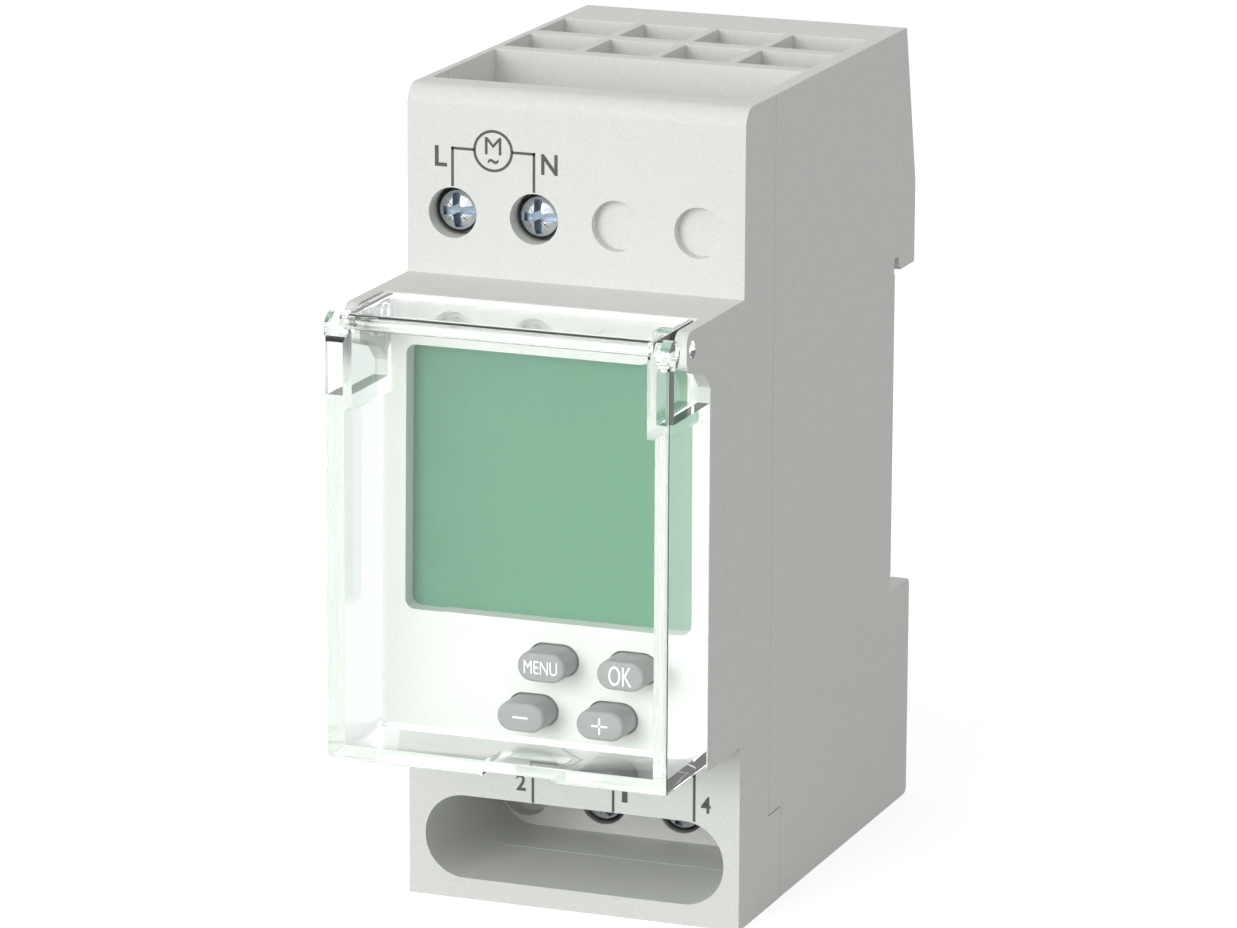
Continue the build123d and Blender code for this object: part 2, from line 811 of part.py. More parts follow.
with BuildPart() as header_strip:
    strip_y = (display_board_back_y, display_board_back_y + header_height)
    block((-header_half, header_half), strip_y, header_rows)
    header_pin_set(pin_size + board_hole_gap, (display_board_back_y - 1, power_board_y), Mode.SUBTRACT)
header_strip.part.label = "header_strip"
export_step(header_strip.part, "parts/header_strip.step")

with BuildPart() as header_socket:
    block((-header_half, header_half), (power_board_y - socket_height, power_board_y), header_rows)
    socket_bore = (power_board_y - socket_height - 1, pins_y[1] + pin_end_gap)
    header_pin_set(pin_size + board_hole_gap, socket_bore, Mode.SUBTRACT)
header_socket.part.label = "header_socket"
export_step(header_socket.part, "parts/header_socket.step")

with BuildPart() as controller_chip:
    chip_y = (display_board_back_y, display_board_back_y + chip_height)
    block((-chip_size / 2, chip_size / 2), chip_y, (chip_z - chip_size / 2, chip_z + chip_size / 2))
    top_edges = controller_chip.faces().sort_by(Axis.Y)[-1].edges()
    chamfer(top_edges, chip_bevel)
controller_chip.part.label = "controller_chip"
export_step(controller_chip.part, "parts/controller_chip.step")

with BuildPart() as quartz:
    quartz_y = display_board_back_y + quartz_radius
    cross_rod(quartz_y, quartz_z, quartz_radius, (quartz_x, quartz_x + quartz_length))
quartz.part.label = "quartz"
export_step(quartz.part, "parts/quartz.step")

# ---- Parts on the power board ------------------------------------------------------------------------------
relay_half = relay_width / 2
relay_case_y = power_board_back_y + relay_base

with BuildPart() as relay_foot:
    relay_rows = (relay_z - relay_length / 2, relay_z + relay_length / 2)
    block((relay_x - relay_half, relay_x + relay_half), (power_board_back_y, relay_case_y), relay_rows)
    for x, z in lead_places()["relay"]:
        rod(x, z, lead_size / 2, (power_board_y - solder_reach, power_board_back_y + relay_base / 2))
relay_foot.part.label = "relay_base"
export_step(relay_foot.part, "parts/relay_base.step")

with BuildPart() as relay_case:
    block(
        (relay_x - relay_half, relay_x + relay_half),
        (relay_case_y, power_board_back_y + relay_height),
        relay_rows,
    )
    fillet(relay_case.faces().sort_by(Axis.Y)[-1].edges(), 0.5)
relay_case.part.label = "relay_case"
export_step(relay_case.part, "parts/relay_case.step")

with BuildPart() as mains_capacitor:
    block(
        (film_x - film_width / 2, film_x + film_width / 2),
        (power_board_back_y, power_board_back_y + film_height),
        (film_z - film_length / 2, film_z + film_length / 2),
    )
    fillet(mains_capacitor.faces().sort_by(Axis.Y)[-1].edges(), 0.4)
    leads("mains_capacitor", 0.5)
mains_capacitor.part.label = "mains_capacitor"
export_step(mains_capacitor.part, "parts/mains_capacitor.step")

with BuildPart() as smoothing_capacitor:
    rod(can_x, can_z, can_radius, (power_board_back_y, power_board_back_y + can_height))
    rims = smoothing_capacitor.edges().filter_by(GeomType.CIRCLE).sort_by(Axis.Y)
    fillet(rims[-1], 0.6)
    leads("smoothing_capacitor", 0.5)
smoothing_capacitor.part.label = "smoothing_capacitor"
export_step(smoothing_capacitor.part, "parts/smoothing_capacitor.step")

with BuildPart() as varistor:
    disc_y = power_board_back_y + disc_standoff + disc_radius
    with Locations((disc_x, disc_y, disc_z)):
        Cylinder(disc_radius, disc_thickness)
    fillet(varistor.edges().filter_by(GeomType.CIRCLE), 1.2)
    leads("varistor", disc_standoff + 1.5)
varistor.part.label = "varistor"
export_step(varistor.part, "parts/varistor.step")

with BuildPart() as fusible_resistor:
    body_y = power_board_back_y + resistor_radius + resistor_standoff
    with Locations((resistor_x, body_y, resistor_z)):
        Cylinder(resistor_radius, resistor_length)
    for x, z in lead_places()["fusible_resistor"]:
        inward = sorted((z, resistor_z))
        lead_y = (power_board_back_y, body_y + lead_size / 2)
        across = (x - lead_size / 2, x + lead_size / 2)
        block(across, lead_y, (z - lead_size / 2, z + lead_size / 2))
        block(across, (body_y - lead_size / 2, body_y + lead_size / 2), inward)
    leads("fusible_resistor", lead_size)
fusible_resistor.part.label = "fusible_resistor"
export_step(fusible_resistor.part, "parts/fusible_resistor.step")

with BuildPart() as backup_cell:
    cell_y = (power_board_back_y + cell_standoff, power_board_back_y + cell_standoff + cell_thickness)
    rod(cell_x, cell_z, cell_diameter / 2, cell_y)
    rims = backup_cell.edges().filter_by(GeomType.CIRCLE).sort_by(Axis.Y)
    fillet(rims[-1], cell_rim_back)
    fillet(rims[0], cell_rim_front)
backup_cell.part.label = "backup_cell"
export_step(backup_cell.part, "parts/backup_cell.step")

with BuildPart() as cell_clip:
    clip_x = (cell_x - cell_diameter / 2 - clip_thickness, cell_x + cell_diameter / 2 + clip_thickness)
    clip_z = (cell_z - clip_width / 2, cell_z + clip_width / 2)
    block(clip_x, (power_board_back_y, cell_y[1] + clip_thickness), clip_z)
    cell_gap = (clip_x[0] + clip_thickness, clip_x[1] - clip_thickness)
    block(cell_gap, (power_board_back_y - 1, cell_y[1]), clip_z, Mode.SUBTRACT)
cell_clip.part.label = "cell_clip"
export_step(cell_clip.part, "parts/cell_clip.step")

with BuildPart() as cell_seat:
    seat_radius = cell_diameter / 2 - cell_seat_inset
    rod(cell_x, cell_z, seat_radius, (power_board_back_y, cell_y[0]))
    hollow_y = (power_board_back_y - 1, cell_y[0] + 1)
    rod(cell_x, cell_z, seat_radius - cell_seat_ring, hollow_y, Mode.SUBTRACT)
cell_seat.part.label = "cell_seat"
export_step(cell_seat.part, "parts/cell_seat.step")

# ---- Push buttons and their switches ---------------------------------------------------------------------
plunger_back_y = switch_front_y + plunger_reach

for name, place in button_places.items():
    with BuildPart() as button:
        face_stadium(place, button_width, button_height, (nose_y - button_proud, flange_back_y))
        rim = button.faces().sort_by(Axis.Y)[0].edges()
        fillet(rim, button_edge)
        flange = (button_width + 2 * flange_margin, button_height + 2 * flange_margin)
        face_stadium(place, *flange, (flange_front_y, flange_back_y))
    button.part.label = f"{name}_button"
    export_step(button.part, f"parts/{name}_button.step")

    with BuildPart() as plunger:
        rod(*place, plunger_radius, (flange_back_y, plunger_back_y))
    plunger.part.label = f"{name}_plunger"
    export_step(plunger.part, f"parts/{name}_plunger.step")

with BuildPart() as switches:
    for x, z in button_places.values():
        across = (x - switch_width / 2, x + switch_width / 2)
        block(across, (switch_front_y, display_board_y), (z - switch_height / 2, z + switch_height / 2))
        bore_y = (switch_front_y - 1, plunger_back_y + button_travel + bar_gap)
        rod(x, z, plunger_radius + plunger_gap, bore_y, Mode.SUBTRACT)
switches.part.label = "switches"
export_step(switches.part, "parts/switches.step")

# ---- Terminals -------------------------------------------------------------------------------------------
for name, (x, z, head_y) in terminals.items():
    shoulder = head_y + screw_head_length
    bar_y = bar_front(head_y)
    foot = bar_foot_z(head_y)

    with BuildPart() as screw:
        rod(x, z, screw_head_diameter / 2, (head_y, shoulder))
        fillet(screw.edges().filter_by(GeomType.CIRCLE).sort_by(Axis.Y)[0], screw_dome)
        rod(x, z, screw_shank_diameter / 2, (shoulder, shoulder + screw_shank_length))
        tip = screw.edges().filter_by(GeomType.CIRCLE).sort_by(Axis.Y)[-1]
        chamfer(tip, bar_gap)
        for width, height in ((cross_width, cross_length), (cross_length, cross_width)):
            block(
                (x - width / 2, x + width / 2),
                (head_y - 1, head_y + cross_depth),
                (z - height / 2, z + height / 2),
                Mode.SUBTRACT,
            )
    screw.part.label = f"{name}_screw"
    export_step(screw.part, f"parts/{name}_screw.step")

    cage_inside = (bar_y - cage_bar_gap, bar_y + bar_thickness + cage_space)
    cage_z = (z - cage_height / 2, z + cage_height / 2)
    with BuildPart() as cage:
        cage_y = (cage_inside[0] - cage_front, cage_inside[1] + cage_back)
        block((x - cage_width / 2, x + cage_width / 2), cage_y, cage_z)
        fillet(cage.edges().filter_by(Axis.Z), cage_corner)
        opening = (x - cage_width / 2 + cage_side, x + cage_width / 2 - cage_side)
        block(opening, cage_inside, (cage_z[0] - 1, cage_z[1] + 1), Mode.SUBTRACT)
        rod(x, z, guide_radius, (cage_y[0] - 1, cage_inside[0] + 1), Mode.SUBTRACT)
    cage.part.label = f"{name}_clamp"
    export_step(cage.part, f"parts/{name}_clamp.step")

    with BuildPart() as bar:
        across = (x - bar_width / 2, x + bar_width / 2)
        tab = (x - solder_tab / 2, x + solder_tab / 2)
        plate = (bar_y, bar_y + bar_thickness)
        if is_upper(head_y):
            block(across, plate, (foot[0], cage_z[1] - bar_overhang))
            block(across, (bar_y, power_board_y), foot)
        else:
            block(across, plate, (cage_z[0] + bar_overhang, foot[1]))
            block(across, (power_board_back_y, bar_y + bar_thickness), foot)
        block(tab, bar_tab_y(head_y), foot)
    bar.part.label = f"{name}_bar"
    export_step(bar.part, f"parts/{name}_bar.step")

# ---- Rail latch and its spring ---------------------------------------------------------------------------
latch_front_y = notch_y + latch_clearance
latch_back_y = latch_front_y + latch_thickness
latch_window_low = spring_low_z - peg_height - latch_clearance

with BuildPart() as din_latch:
    with BuildSketch(Plane.YZ.offset(-latch_width / 2)):
        with BuildLine():
            Polyline(
                (latch_front_y, bottom_z),
                (latch_front_y, hook_z),
                (latch_front_y + latch_lip, hook_z),
                (latch_back_y, hook_z - latch_lead),
                (latch_back_y, bottom_z),
                close=True,
            )
        make_face()
    extrude(amount=latch_width)
    window_half = latch_window_width / 2
    block(
        (-window_half, window_half),
        (latch_front_y - 1, latch_back_y + 1),
        (latch_window_low, latch_window_top),
        Mode.SUBTRACT,
    )
    # Screwdriver slot at the foot.
    block(
        (-pry_width / 2, pry_width / 2),
        (latch_front_y - 1, latch_back_y + 1),
        (bottom_z + pry_rise, bottom_z + pry_rise + pry_height),
        Mode.SUBTRACT,
    )
din_latch.part.label = "din_latch"
export_step(din_latch.part, "parts/din_latch.step")

with BuildPart() as latch_spring:
    spring_middle_y = (latch_front_y + latch_back_y) / 2
    lowest = spring_low_z + spring_wire / 2
    highest = latch_window_top - spring_wire / 2
    reach = peg_width / 2 - spring_wire
    rise = (highest - lowest) / (2 * spring_turns)
    path = [(reach, lowest)]
    for turn in range(2 * spring_turns):
        side = -1 if turn % 2 == 0 else 1
        path.append((side * reach, lowest + turn * rise))
        path.append((side * reach, lowest + (turn + 1) * rise))
    path.append((-path[-1][0], highest))
    with BuildSketch(Plane.XZ.offset(-spring_middle_y - spring_depth / 2)) as wire:
        with BuildLine() as bends:
            FilletPolyline(path, radius=rise * spring_bend_share)
        trace(line_width=spring_wire)
    extrude(wire.sketch, amount=spring_depth)
latch_spring.part.label = "latch_spring"
export_step(latch_spring.part, "parts/latch_spring.step")
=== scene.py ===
"""Looks of the two-module rail timer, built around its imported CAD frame.

Lengths in the dataclass fields are metres unless a name ends in _mm. X runs to the right seen from
the front, Y into the depth and Z up; the origin is the centre of the rail seat.
"""

import json
import logging
import math
from dataclasses import dataclass, field
from enum import Enum

import bmesh
import bpy
from mathutils import Matrix, Vector

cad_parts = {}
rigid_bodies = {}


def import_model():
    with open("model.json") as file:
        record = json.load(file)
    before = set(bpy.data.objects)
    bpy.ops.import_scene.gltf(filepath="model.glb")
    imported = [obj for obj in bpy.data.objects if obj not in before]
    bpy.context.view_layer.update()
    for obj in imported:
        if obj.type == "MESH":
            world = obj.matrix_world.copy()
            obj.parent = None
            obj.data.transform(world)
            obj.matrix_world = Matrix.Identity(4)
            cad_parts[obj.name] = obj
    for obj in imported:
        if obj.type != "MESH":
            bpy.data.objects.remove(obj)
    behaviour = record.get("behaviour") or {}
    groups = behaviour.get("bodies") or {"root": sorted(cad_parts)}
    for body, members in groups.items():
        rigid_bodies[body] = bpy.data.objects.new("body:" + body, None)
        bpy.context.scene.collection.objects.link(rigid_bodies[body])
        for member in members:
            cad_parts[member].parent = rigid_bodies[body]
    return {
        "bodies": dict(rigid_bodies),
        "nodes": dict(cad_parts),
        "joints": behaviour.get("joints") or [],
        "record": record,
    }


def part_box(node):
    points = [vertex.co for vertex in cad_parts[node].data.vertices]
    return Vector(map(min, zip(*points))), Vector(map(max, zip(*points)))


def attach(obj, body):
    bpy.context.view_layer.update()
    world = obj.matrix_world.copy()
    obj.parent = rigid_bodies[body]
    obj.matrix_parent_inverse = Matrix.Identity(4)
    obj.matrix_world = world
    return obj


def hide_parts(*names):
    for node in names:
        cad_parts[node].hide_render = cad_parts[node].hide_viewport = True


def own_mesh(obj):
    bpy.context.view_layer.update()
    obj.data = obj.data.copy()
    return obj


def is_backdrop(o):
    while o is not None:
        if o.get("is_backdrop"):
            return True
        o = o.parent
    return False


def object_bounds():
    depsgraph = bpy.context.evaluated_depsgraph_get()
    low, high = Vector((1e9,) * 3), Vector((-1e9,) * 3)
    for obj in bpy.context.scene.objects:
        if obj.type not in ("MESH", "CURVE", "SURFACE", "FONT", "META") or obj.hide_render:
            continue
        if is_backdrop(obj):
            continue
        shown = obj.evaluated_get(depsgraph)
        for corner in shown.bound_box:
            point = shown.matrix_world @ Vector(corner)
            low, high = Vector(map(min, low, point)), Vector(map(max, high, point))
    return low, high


BMesh = bmesh.types.BMesh
Material = bpy.types.Material
Piece = bpy.types.Object
Tree = bpy.types.NodeTree
Socket = bpy.types.NodeSocket
Sockets = bpy.types.bpy_prop_collection

log = logging.getLogger("rail_timer")
MM = 0.001
MERGE_DISTANCE = 2e-6
FLAT_ANGLE = math.radians(0.5)
SHARP_ANGLE = math.radians(32)
EDGE_STEPS = 2
INK_THICKNESS = 0.03 * MM
LETTER_EXTRUDE = 0.006
LETTER_STEPS = 6
TERMINALS = ("line", "neutral", "closing", "common", "opening")
QUARTER_TURN = math.pi / 2


# ---- Small tools -----------------------------------------------------------------------------


def linear(colour: str) -> tuple[float, float, float, float]:
    """Turns an sRGB hex colour into linear values.

    Args:
        colour: The colour as #rrggbb.

    Returns:
        Red, green, blue and an alpha of one.
    """
    channels = [int(colour[i : i + 2], 16) / 255 for i in (1, 3, 5)]
    made = [c / 12.92 if c <= 0.04045 else ((c + 0.055) / 1.055) ** 2.4 for c in channels]
    return (*made, 1.0)


def add_node(tree: Tree, kind: str, inputs: dict | None = None, **settings) -> bpy.types.Node:
    """Adds one node with its settings, values and links.

    Args:
        tree: The node tree that gets the node.
        kind: The node's type.
        inputs: Socket names or numbers, each with a value or with the socket that feeds it.
        **settings: Properties of the node.

    Returns:
        The new node.
    """
    node = tree.nodes.new(kind)
    for name, value in settings.items():
        setattr(node, name, value)
    for name, value in (inputs or {}).items():
        if isinstance(value, Socket):
            tree.links.new(value, node.inputs[name])
        else:
            node.inputs[name].default_value = value
    return node


def maths(tree: Tree, operation: str, first: Socket | float, second: Socket | float) -> Socket:
    """Adds one sum of two values or sockets and returns its value."""
    return add_node(tree, "ShaderNodeMath", {0: first, 1: second}, operation=operation).outputs["Value"]


def new_object(name: str, mesh: bpy.types.Mesh) -> Piece:
    """Puts a mesh in the scene as an object at the origin."""
    made = bpy.data.objects.new(name, mesh)
    bpy.context.scene.collection.objects.link(made)
    return made


def from_shape(name: str, shape: BMesh) -> Piece:
    """Turns a shape being built into an object at the origin and frees the shape."""
    mesh = bpy.data.meshes.new(name)
    shape.to_mesh(mesh)
    shape.free()
    return new_object(name, mesh)


def middle_of(node: str) -> Vector:
    """Gives the middle of a CAD node's box."""
    low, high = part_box(node)
    return (low + high) / 2


def baked(source: Piece, name: str) -> Piece:
    """Turns an object with modifiers, or a curve, into one plain mesh object and removes the source.

    Args:
        source: The object to evaluate.
        name: The name of the result.

    Returns:
        The plain object, with the source's place in its mesh.
    """
    bpy.context.view_layer.update()
    graph = bpy.context.evaluated_depsgraph_get()
    mesh = bpy.data.meshes.new_from_object(source.evaluated_get(graph), depsgraph=graph)
    mesh.transform(source.matrix_world)
    bpy.data.objects.remove(source)
    made = new_object(name, mesh)
    mesh.name = name
    return made


def dress(piece: Piece, material: Material) -> None:
    """Gives a piece one material on all its faces."""
    piece.data.materials.clear()
    piece.data.materials.append(material)
    for polygon in piece.data.polygons:
        polygon.material_index = 0


def merged_copy(source: Piece, name: str) -> Piece:
    """Copies a CAD object's mesh and merges its loose triangles into whole flat faces.

    Args:
        source: The CAD object.
        name: The copy's name.

    Returns:
        The copy, at the CAD object's place.
    """
    mesh = source.data.copy()
    shape = bmesh.new()
    shape.from_mesh(mesh)
    bmesh.ops.remove_doubles(shape, verts=shape.verts, dist=MERGE_DISTANCE)
    bmesh.ops.dissolve_limit(
        shape, angle_limit=FLAT_ANGLE, verts=shape.verts, edges=shape.edges, use_dissolve_boundaries=False
    )
    shape.to_mesh(mesh)
    shape.free()
    if "custom_normal" in mesh.attributes:
        mesh.attributes.remove(mesh.attributes["custom_normal"])
    return new_object(name, mesh)


def rounded(rough: Piece, name: str, edge: float) -> Piece:
    """Rounds the sharp edges of a merged shape.

    Args:
        rough: The shape, which is used up.
        name: The new piece's name.
        edge: Width of the edge rounding.

    Returns:
        The rounded piece.
    """
    rough.data.shade_smooth()
    bevel = rough.modifiers.new("edges", "BEVEL")
    bevel.width = edge
    bevel.segments = EDGE_STEPS
    bevel.limit_method = "ANGLE"
    bevel.angle_limit = SHARP_ANGLE
    bevel.use_clamp_overlap = True
    bevel.harden_normals = True
    return baked(rough, name)


def rounded_copy(nodes: dict, node: str, name: str, edge: float) -> Piece:
    """Copies a CAD node with its edges rounded; see merged_copy and rounded."""
    return rounded(merged_copy(nodes[node], f"{name}_merged"), name, edge)


def box_mesh(name: str, low: tuple, high: tuple) -> Piece:
    """Makes a plain block between two corners, as a tool for cutting."""
    shape = bmesh.new()
    size = Vector(high) - Vector(low)
    centre = (Vector(high) + Vector(low)) / 2
    place = Matrix.Translation(centre) @ Matrix.Diagonal((*size, 1))
    bmesh.ops.create_cube(shape, size=1.0, matrix=place)
    return from_shape(name, shape)


def rod_mesh(name: str, reach: float, y: float, z: float, radius: float, sides: int) -> Piece:
    """Makes a round rod along X, from -reach to +reach.

    Args:
        name: The rod's name.
        reach: Half its length.
        y: Depth of its axis.
        z: Height of its axis.
        radius: Its radius.
        sides: Facets round it.

    Returns:
        The rod's object.
    """
    shape = bmesh.new()
    place = Matrix.Translation((0, y, z)) @ Matrix.Rotation(QUARTER_TURN, 4, "Y")
    bmesh.ops.create_cone(
        shape, cap_ends=True, segments=sides, radius1=radius, radius2=radius, depth=2 * reach, matrix=place
    )
    return from_shape(name, shape)


def joined(base: Piece, tool: Piece, operation: str) -> None:
    """Cuts a tool from a base, or joins it on, and uses the tool up.

    Args:
        base: The shape that changes.
        tool: The shape that cuts or is added.
        operation: DIFFERENCE or UNION.
    """
    modifier = base.modifiers.new("work", "BOOLEAN")
    modifier.object = tool
    modifier.operation = operation
    modifier.solver = "EXACT"
    bpy.context.view_layer.update()
    graph = bpy.context.evaluated_depsgraph_get()
    mesh = bpy.data.meshes.new_from_object(base.evaluated_get(graph), depsgraph=graph)
    base.modifiers.clear()
    base.data = mesh
    bpy.data.objects.remove(tool)


# ---- Finishes --------------------------------------------------------------------------------


class Pattern(Enum):
    """How a finish varies over the surface: the noise's octaves and its stretch along Z."""

    SPECKLED = (2.0, 1.0)
    BRUSHED = (5.0, 0.06)
    CLOUDED = (5.0, 1.0)


@dataclass(frozen=True)
class Finish:
    """An opaque finish whose colour, roughness and relief vary a little at a real grain size."""

    name: str
    colour: str
    second: str
    roughness: float
    grain_mm: float
    metallic: float = 0.0
    ior: float = 1.5
    relief_mm: float = 0.0
    roughness_spread: float = 0.06
    coat: float = 0.0
    pattern: Pattern = Pattern.SPECKLED
    noise_gain: float = 0.55
    noise_low: float = 0.3
    noise_high: float = 0.7
    relief_strength: float = 0.5

    def make(self) -> Material:
        """Builds the material.

        Returns:
            The finished material.
        """
        material = bpy.data.materials.new(self.name)
        material.use_nodes = True
        tree = material.node_tree
        tree.nodes.clear()
        place = add_node(tree, "ShaderNodeTexCoord").outputs["Object"]
        detail, stretch = self.pattern.value
        turned = add_node(tree, "ShaderNodeMapping", {"Vector": place, "Scale": (1.0, 1.0, stretch)})
        grain = add_node(
            tree,
            "ShaderNodeTexNoise",
            {
                "Vector": turned.outputs["Vector"],
                "Scale": 1 / (self.grain_mm * MM),
                "Detail": detail,
                "Roughness": self.noise_gain,
            },
        )
        blend = add_node(
            tree,
            "ShaderNodeMapRange",
            {"Value": grain.outputs["Fac"], "From Min": self.noise_low, "From Max": self.noise_high},
        )
        colours = add_node(
            tree,
            "ShaderNodeMix",
            {"Factor": blend.outputs["Result"], 6: linear(self.colour), 7: linear(self.second)},
            data_type="RGBA",
        )
        rough = add_node(
            tree,
            "ShaderNodeMapRange",
            {
                "Value": grain.outputs["Fac"],
                "From Min": self.noise_low,
                "From Max": self.noise_high,
                "To Min": max(0.02, self.roughness - self.roughness_spread),
                "To Max": min(1.0, self.roughness + self.roughness_spread),
            },
        )
        values = {
            "Base Color": colours.outputs[2],
            "Roughness": rough.outputs["Result"],
            "Metallic": self.metallic,
            "Coat Weight": self.coat,
        }
        if not self.metallic:
            values["IOR"] = self.ior
        if self.relief_mm:
            relief = add_node(
                tree,
                "ShaderNodeBump",
                {
                    "Height": grain.outputs["Fac"],
                    "Strength": self.relief_strength,
                    "Distance": self.relief_mm * MM,
                },
            )
            values["Normal"] = relief.outputs["Normal"]
        shader = add_node(tree, "ShaderNodeBsdfPrincipled", values)
        add_node(tree, "ShaderNodeOutputMaterial", {"Surface": shader.outputs["BSDF"]})
        return material


@dataclass(frozen=True)
class ClearPlastic:
    """Moulded clear polycarbonate: water-clear walls, bright edges and faint flow marks."""

    name: str = "clear_polycarbonate_moulded"
    tint: str = "#fbfdfc"
    ior: float = 1.58
    roughness: float = 0.015
    wave_mm: float = 6.0
    wave_relief_mm: float = 0.002
    wave_strength: float = 0.2
    shadow_tint: str = "#f4f7f5"

    def make(self) -> Material:
        """Builds the material, which lets the lamps' light through to what lies behind it.

        Returns:
            The finished material.
        """
        material = bpy.data.materials.new(self.name)
        material.use_nodes = True
        tree = material.node_tree
        tree.nodes.clear()
        place = add_node(tree, "ShaderNodeTexCoord").outputs["Object"]
        wave = add_node(
            tree,
            "ShaderNodeTexNoise",
            {"Vector": place, "Scale": 1 / (self.wave_mm * MM), "Detail": 1.0},
        )
        relief = add_node(
            tree,
            "ShaderNodeBump",
            {
                "Height": wave.outputs["Fac"],
                "Strength": self.wave_strength,
                "Distance": self.wave_relief_mm * MM,
            },
        )
        glass = add_node(
            tree,
            "ShaderNodeBsdfPrincipled",
            {
                "Base Color": linear(self.tint),
                "Roughness": self.roughness,
                "IOR": self.ior,
                "Transmission Weight": 1.0,
                "Normal": relief.outputs["Normal"],
            },
        )
        through = add_node(tree, "ShaderNodeBsdfTransparent", {"Color": linear(self.shadow_tint)})
        rays = add_node(tree, "ShaderNodeLightPath")
        both = add_node(
            tree,
            "ShaderNodeMixShader",
            {0: rays.outputs["Is Shadow Ray"], 1: glass.outputs["BSDF"], 2: through.outputs["BSDF"]},
        )
        add_node(tree, "ShaderNodeOutputMaterial", {"Surface": both.outputs["Shader"]})
        return material


# Glass-filled polyamide, moulded with a fine spark texture: matte, pale, finely speckled.
HOUSING = Finish("housing_polyamide_moulded", "#e3e5e0", "#dcdeda", 0.62, 0.35, relief_mm=0.02)
# The same polyamide for the rail latch, a shade darker.
LATCH = Finish("latch_polyamide_moulded", "#d3d5d1", "#c9cbc7", 0.6, 0.35, relief_mm=0.02)
# Inner frame of the display: smooth pale ABS.
FRAME = Finish("frame_abs_moulded", "#c9cbc8", "#bec0bd", 0.5, 1.2, relief_mm=0.01)
# Reflective liquid crystal behind a satin polariser: an even cool green.
LCD = Finish("lcd_satin_polariser", "#548f70", "#518b6c", 0.4, 6.0, ior=1.45, pattern=Pattern.CLOUDED)
# Moulded grey ABS keys with a satin face.
BUTTON = Finish("button_abs_satin", "#969696", "#8f8f8f", 0.5, 0.4, relief_mm=0.005)
# Pad-printed inks: flat and slightly raised.
DARK_INK = Finish("pad_ink_dark_grey", "#565755", "#4f504e", 0.6, 0.3)
WHITE_INK = Finish("pad_ink_white", "#fbfbfb", "#f3f3f3", 0.5, 0.3)
# Bright zinc-plated steel with a blue passivation: the screw heads, near white and cool.
ZINC = Finish(
    "zinc_steel_bright", "#eef1f5", "#dfe4ea", 0.16, 0.8, metallic=1.0, roughness_spread=0.03
)
# The driver recess of those screws: the same zinc, a little rougher and painted darker blue-grey as painted
# shade in the recess, so the cross reads dark.
RECESS_PAINTED_SHADE = Finish("zinc_recess_painted_shade", "#8f9aa6", "#7b8692", 0.3, 0.5, metallic=1.0)
# Painted shadow: the outer ring of each screw head, painted near black, standing in for the shade between
# the head and its well.
RIM_PAINTED_SHADOW = Finish("head_rim_painted_shadow", "#1d1e20", "#151618", 0.5, 0.5)
# Tumbled zinc-plated steel of the lift clamps: dull silver.
CLAMP = Finish("zinc_steel_tumbled", "#c4c6c8", "#aeb1b4", 0.34, 0.6, metallic=1.0, relief_mm=0.01)
# Rolled brass of the terminal bars: warm yellow with fine lines.
BRASS = Finish("brass_rolled", "#d6b878", "#c3a463", 0.3, 0.8, metallic=1.0, pattern=Pattern.BRUSHED)
# Drawn spring steel: grey, with lines along the wire.
SPRING = Finish("spring_steel_drawn", "#b9bbbf", "#a3a5a9", 0.28, 0.5, metallic=1.0, pattern=Pattern.BRUSHED)
# Glass epoxy board under green solder resist: deep green with a soft gloss.
LAMINATE = Finish("glass_epoxy_green_resist", "#1f6b3c", "#17552f", 0.3, 1.6, relief_mm=0.02, coat=0.3)
# Tinned brass pins: pale gold.
PINS = Finish("pin_tinned_brass", "#d8c690", "#c8b47c", 0.28, 0.6, metallic=1.0)
# Black polyester of the pin header: flat black.
HEADER = Finish("header_pbt_black", "#252525", "#1d1d1d", 0.5, 0.4, relief_mm=0.01)
# Moulded epoxy of the chip: charcoal, matte.
CHIP = Finish("chip_epoxy_black", "#26272a", "#1e1f21", 0.55, 0.3, relief_mm=0.01)
# Drawn nickel can of the crystal: bright, with fine lines.
QUARTZ = Finish("quartz_can_nickel", "#cfd0ce", "#bcbdbb", 0.22, 0.8, metallic=1.0, pattern=Pattern.BRUSHED)
# Polyester relay case: black with a slight sheen.
RELAY = Finish("relay_pbt_black", "#2a2b2e", "#222326", 0.42, 0.6, relief_mm=0.01)
# Box of the film capacitor: ochre yellow.
FILM_BOX = Finish("film_capacitor_pbt_yellow", "#d0b13a", "#c2a42f", 0.45, 0.9, relief_mm=0.01)
# Shrunk sleeve of the electrolytic can: glossy dark grey.
CAN = Finish("capacitor_can_sleeved", "#35383f", "#2b2e34", 0.35, 1.2, coat=0.2)
# Dipped epoxy of the varistor: blue, a little uneven.
VARISTOR = Finish("varistor_epoxy_blue", "#2c5c9c", "#234d86", 0.4, 0.7, relief_mm=0.02)
# Cement of the fusible resistor: chalky grey.
RESISTOR = Finish("resistor_cement_grey", "#9a9489", "#878177", 0.75, 0.3, relief_mm=0.03)
# Nickel-plated steel of the cell and its clip: bright silver.
CELL = Finish("cell_nickel_steel", "#d2d2cf", "#bfbfbc", 0.25, 1.5, metallic=1.0, pattern=Pattern.BRUSHED)
# Conductive silicone of the contact strips: soft dark grey.
RUBBER = Finish("contact_silicone_grey", "#54565b", "#45474c", 0.7, 0.5, relief_mm=0.01)
# Black polyester of the switches and the cell seat.
SWITCH = Finish("switch_pbt_black", "#2b2b2d", "#212123", 0.5, 0.5, relief_mm=0.01)


# ---- Housing ---------------------------------------------------------------------------------


